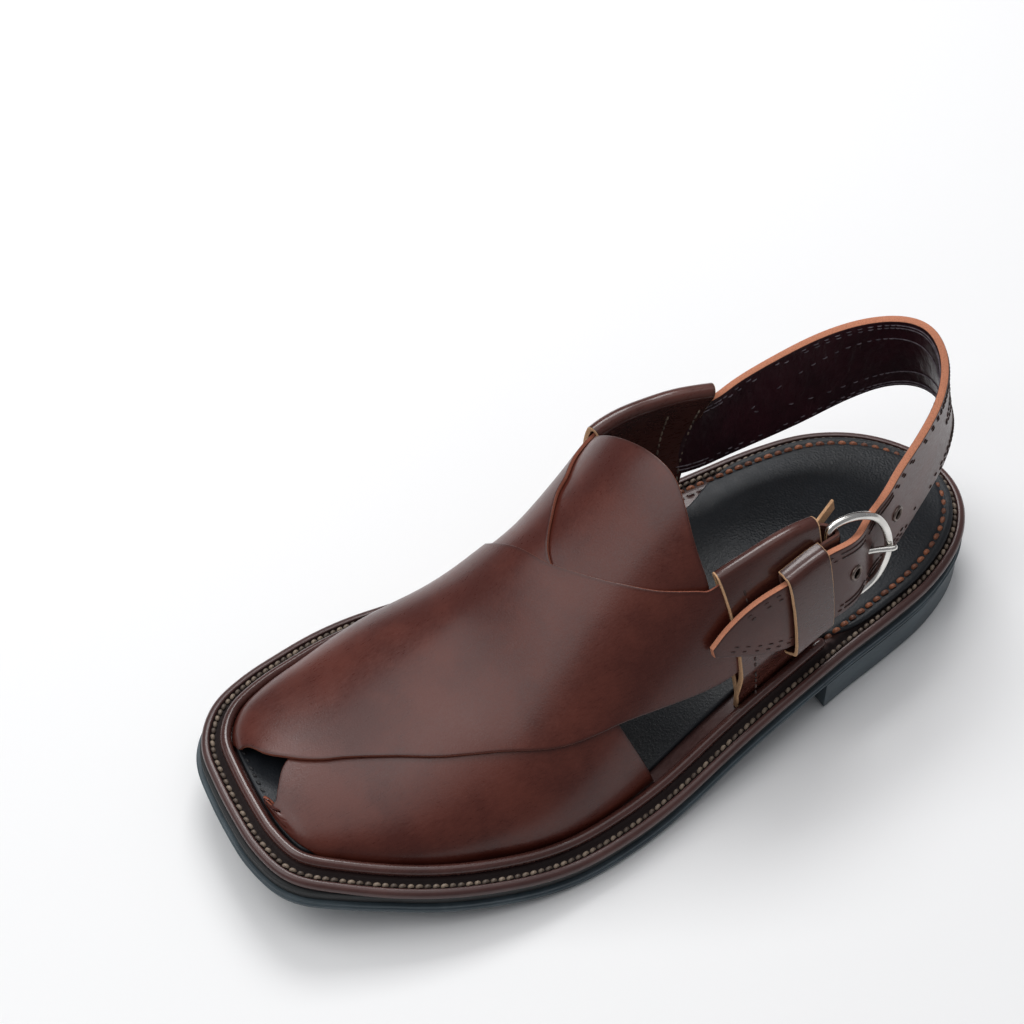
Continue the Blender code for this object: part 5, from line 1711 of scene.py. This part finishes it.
@dataclass
class Buckle:
    """The chape round the buckle's bar, the keeper, the frame and the prong."""

    last: Last
    looks: Finishes
    strap: HeelStrap
    out: float = 4.6 * MM
    into: float = 1.5 * MM
    gap: float = 0.3 * MM
    chape_thick: float = 1.5 * MM
    keeper_thick: float = 1.35 * MM
    bar_along: float = 0.2040
    bar_out: float = 3.0 * MM
    end_along: float = 0.2268
    end_out: float = 6.6 * MM
    wire: float = 1.45 * MM
    prong_wire: float = 1.05 * MM
    prong_girth: float = 0.877
    keeper_front: float = 0.642
    keeper_rear: float = 0.700
    keeper_crown: float = 1.80
    chape_girths: tuple = (0.806, 0.132)
    chape_end: float = 0.671
    fold_past: float = 1.3 * MM
    fold_flat: float = 0.45
    suede_length: float = 9.0 * MM
    suede_thick: float = 1.3 * MM
    suede_off: float = -4.4 * MM
    bar_wire: float = 1.3 * MM
    hook_wire: float = 0.8 * MM
    edge_radius: float = 0.25 * MM
    # Share of the way from the bar to the outer end, girth.
    frame_path: tuple = (
        (0.00, 0.850), (0.00, 0.805), (0.15, 0.796), (0.50, 0.800), (0.82, 0.820), (1.00, 0.860),
        (1.00, 0.898), (0.80, 0.932), (0.45, 0.945), (0.12, 0.943), (0.00, 0.930),
    )
    # Girth, share of the keeper's height.
    keeper_arch: tuple = (
        (0.801, 0.00), (0.805, 0.55), (0.816, 1.00), (0.870, 1.06), (0.928, 1.00), (0.939, 0.55),
        (0.944, 0.00),
    )
    # Share of the way from the bar to the outer end, girth from the prong's own, height in millimetres.
    prong_bow: tuple = (
        (0.22, 0.0, 0.8), (0.42, 0.0, -0.9), (0.63, 0.0, -0.8), (0.79, 0.001, 0.2), (0.90, 0.002, 1.4),
        (1.00, 0.003, 2.5), (1.03, 0.003, 2.5),
    )

    def frame_point(self, share: Any, girth: Any, lift: Any = 0.0) -> Array:
        """A point of the frame's plane.

        Args:
            share: Share of the way from the bar to the outer end.
            girth: Place around.
            lift: Height off the plane.

        Returns:
            Points (across, along, up).
        """
        share, girth, lift = (np.asarray(x, float) for x in (share, girth, lift))
        along = self.bar_along + share * (self.end_along - self.bar_along)
        return self.last.at(along, girth, self.bar_out + share * (self.end_out - self.bar_out) + lift)

    def build_chape(self) -> None:
        """Leather that comes up the quarter, turns round the bar and goes back inside, with a suede end."""
        length = self.last.foot.length
        outer, inner = self.out + self.gap, -self.into - 2 * self.gap - self.chape_thick
        fold = self.bar_along + self.fold_past
        middle_off = 0.5 * (outer + inner + self.chape_thick)
        radius = 0.5 * (outer - inner)
        turn = np.radians(np.linspace(90, -90, 25))
        first = np.linspace(self.keeper_front * length, fold, 24, endpoint=False)
        last = np.linspace(fold, self.chape_end * length, 20)[1:]
        along = np.concatenate([first, fold + self.fold_flat * radius * np.cos(turn), last])
        off = np.concatenate([
            np.full(len(first), outer + 0.5 * self.chape_thick), middle_off + radius * np.sin(turn),
            np.full(len(last), middle_off - radius),
        ])
        low, wide = self.chape_girths
        girth = low + wide * eased(34, 0.02)
        middle = self.last.at(along[:, None], girth[None], off[:, None])
        work = Patchwork()
        work.slab(middle, self.chape_thick, self.edge_radius, turn=-1.0)
        show(work.make("buckle_chape_fold", [self.looks.bead]), "strap_leather", "buckle_chape")
        at, drop = np.meshgrid(eased(24, 0.02), eased(20, 0.03), indexing="ij")
        along = self.bar_along + 0.5 * MM + at * self.suede_length
        middle = self.last.at(along, low - 0.024 * at + 0.018 * drop, self.suede_off)
        work = Patchwork()
        work.slab(middle, self.suede_thick, self.edge_radius)
        show(work.make("chape_suede_end", [self.looks.suede]), "strap_leather", "buckle_chape")

    def build_keeper(self) -> None:
        """The loop over the strap's end: its inner face clears the strap by the gap."""
        length = self.last.foot.length
        foot = self.out + self.gap
        crown = self.keeper_crown * self.out + 0.5 * self.strap.thick + self.gap + 0.2 * MM
        arch = evenly(through(self.keeper_arch, False), 70, False)
        off = foot + arch[:, 1] * (crown - foot) + 0.5 * self.keeper_thick
        across = eased(24, 0.014)
        along = (self.keeper_front + across * (self.keeper_rear - self.keeper_front)) * length
        middle = self.last.at(along[:, None], arch[None, :, 0], off[None])
        work = Patchwork()
        work.slab(middle, self.keeper_thick, 0.2 * MM, turn=-1.0, raw=0.45 * MM)
        show(work.make("strap_keeper_loop", [self.looks.quarter]), "strap_leather", "strap_keeper")

    def build_frame(self) -> None:
        """The D-shaped frame: a round wire on a smooth closed path."""
        rows = np.array(self.frame_path)
        path = through(self.frame_point(rows[:, 0], rows[:, 1]), True, 14)
        path = softened(evenly(path, 160, True), 2.5, True)
        work = Patchwork()
        work.tube(path, self.wire, 18, True)
        show(work.make("buckle_frame_wire", [self.looks.nickel]), "nickel", "buckle_frame")

    def build_prong(self) -> None:
        """The prong: a hook round the bar, then a bow over the outer end bar."""
        hook = self.bar_wire + self.gap + self.hook_wire
        turn = np.radians([-120, -160, 160, 120, 80])
        along = self.bar_along + hook * np.cos(turn)
        start = self.last.at(along, self.prong_girth, self.bar_out + hook * np.sin(turn))
        rows = np.array(self.prong_bow)
        rest = self.frame_point(rows[:, 0], self.prong_girth + rows[:, 1], rows[:, 2] * MM)
        path = evenly(through(np.vstack([start, rest]), False), 70, False)
        work = Patchwork()
        work.tube(path, self.prong_wire, 12, False)
        show(work.make("buckle_prong_wire", [self.looks.nickel]), "nickel", "buckle_prong")

    def build(self) -> None:
        """Builds the four pieces."""
        self.build_chape()
        self.build_keeper()
        self.build_frame()
        self.build_prong()


# Floor, light and camera.


@dataclass
class Studio:
    """A pale floor, soft lights and the camera."""

    eye: tuple = (0.4371, -0.3990, 0.7535)
    roll: float = 0.056
    lens: float = 92.13
    azimuth: float = 58.94
    elevation: float = 51.27
    shoe_middle: tuple = (0.0, -0.09, 0.04)
    floor_half: float = 4.0
    sky: tuple = (0.95, 0.96, 1.0, 1.0)
    sky_strength: float = 0.27
    # Name, azimuth from the camera's, elevation, distance, size, power.
    lamps: tuple = (
        ("back_softbox", 188.0, 53.0, 1.5, (0.75, 0.5), 10.5),
        ("top_softbox", 150.0, 82.0, 1.6, (1.3, 1.3), 5.6),
        ("toe_fill", -85.0, 58.0, 1.9, (1.8, 1.4), 17.0),
    )

    def floor(self) -> None:
        """A large pale floor."""
        s = Surface("pale_floor")
        cloud = s.noise(s.place(), 1.2, 2.0)
        colour = s.mix(s.ramp(cloud, 0.3, 0.7), (0.85, 0.85, 0.855), (0.88, 0.88, 0.88))
        look = s.finish(Base_Color=colour, Roughness=0.75)
        mesh = bpy.data.meshes.new("floor")
        half = self.floor_half
        corners = [(-half, -half, 0), (half, -half, 0), (half, half, 0), (-half, half, 0)]
        mesh.from_pydata(corners, [], [(0, 1, 2, 3)])
        mesh.materials.append(look)
        made = bpy.data.objects.new("floor", mesh)
        made.location = (0.0, 0.0, -0.0002)
        bpy.context.scene.collection.objects.link(made)

    def lamp(
        self, name: str, azimuth: float, elevation: float, distance: float, size: tuple[float, float],
        power: float,
    ) -> None:
        """A soft rectangular lamp that faces the shoe.

        Args:
            name: Name of the lamp.
            azimuth: Degrees round the shoe from the camera's own azimuth.
            elevation: Degrees over the floor.
            distance: Distance from the shoe.
            size: Width and height.
            power: Power in watts.
        """
        a, e = math.radians(self.azimuth + azimuth), math.radians(elevation)
        way = Vector((math.sin(a) * math.cos(e), -math.cos(a) * math.cos(e), math.sin(e)))
        data = bpy.data.lights.new(name, "AREA")
        data.shape, data.size, data.size_y, data.energy = "RECTANGLE", *size, power
        made = bpy.data.objects.new(name, data)
        made.location = Vector(self.shoe_middle) + way * distance
        made.rotation_mode = "QUATERNION"
        made.rotation_quaternion = way.to_track_quat("Z", "Y")
        bpy.context.scene.collection.objects.link(made)

    def camera(self) -> None:
        """The camera at the photograph's place and angle."""
        a, e = math.radians(self.azimuth), math.radians(self.elevation)
        back = Vector((math.sin(a) * math.cos(e), -math.cos(a) * math.cos(e), math.sin(e)))
        right = Vector((math.cos(a), math.sin(a), 0.0))
        up = back.cross(right)
        turn = math.radians(self.roll)
        right, up = right * math.cos(turn) + up * math.sin(turn), up * math.cos(turn) - right * math.sin(turn)
        data = bpy.data.cameras.new("camera")
        data.lens, data.sensor_width, data.clip_start = self.lens, 36.0, 0.05
        made = bpy.data.objects.new("camera", data)
        made.matrix_world = Matrix.Translation(self.eye) @ Matrix((right, up, back)).transposed().to_4x4()
        bpy.context.scene.collection.objects.link(made)
        bpy.context.scene.camera = made

    def build(self) -> None:
        """Builds the stage."""
        self.floor()
        world = bpy.data.worlds.new("studio")
        world.use_nodes = True
        sky = world.node_tree.nodes["Background"]
        sky.inputs["Color"].default_value = self.sky
        sky.inputs["Strength"].default_value = self.sky_strength
        bpy.context.scene.world = world
        for row in self.lamps:
            self.lamp(*row)
        self.camera()
        bpy.context.scene.view_settings.view_transform = "Standard"


def main() -> None:
    """Builds the shoe and its stage in order."""
    logging.basicConfig(level=logging.INFO, format="%(name)s %(message)s")
    foot = Footprint()
    last = Last(foot)
    looks = Finishes()
    Sole(foot, looks).build()
    Vamp(last, looks).build()
    Quarter(
        last, looks, True,
        ends=((0.00, 0.581, 0.703), (0.50, 0.577, 0.708), (1.00, 0.573, 0.710)),
        roll=((0.560, 0.744), (0.610, 0.757), (0.660, 0.768), (0.720, 0.785)),
        columns=((0.16, 0.06, 0.60, 1.0, 1), (0.17, 0.62, 0.86, 1.0, 1), (0.85, 0.20, 0.80, -1.0, 2)),
        raw=1.0 * MM,
    ).build()
    Quarter(
        last, looks, False,
        ends=((0.00, 0.567, 0.675), (0.50, 0.570, 0.704), (1.00, 0.573, 0.732)),
        roll=((0.560, 0.247), (0.610, 0.226), (0.660, 0.204), (0.735, 0.190)),
        columns=(
            (0.12, 0.10, 0.82, 1.0, 1), (0.50, 0.25, 0.85, 1.0, 1), (0.93, 0.15, 0.88, 1.0, 1),
            (0.68, 0.10, 0.85, -1.0, 2), (0.95, 0.10, 0.85, -1.0, 2),
        ),
    ).build()
    strap = HeelStrap(last, looks)
    strap.build()
    Buckle(last, looks, strap).build()
    Studio().build()


if __name__ == "__main__":
    main()
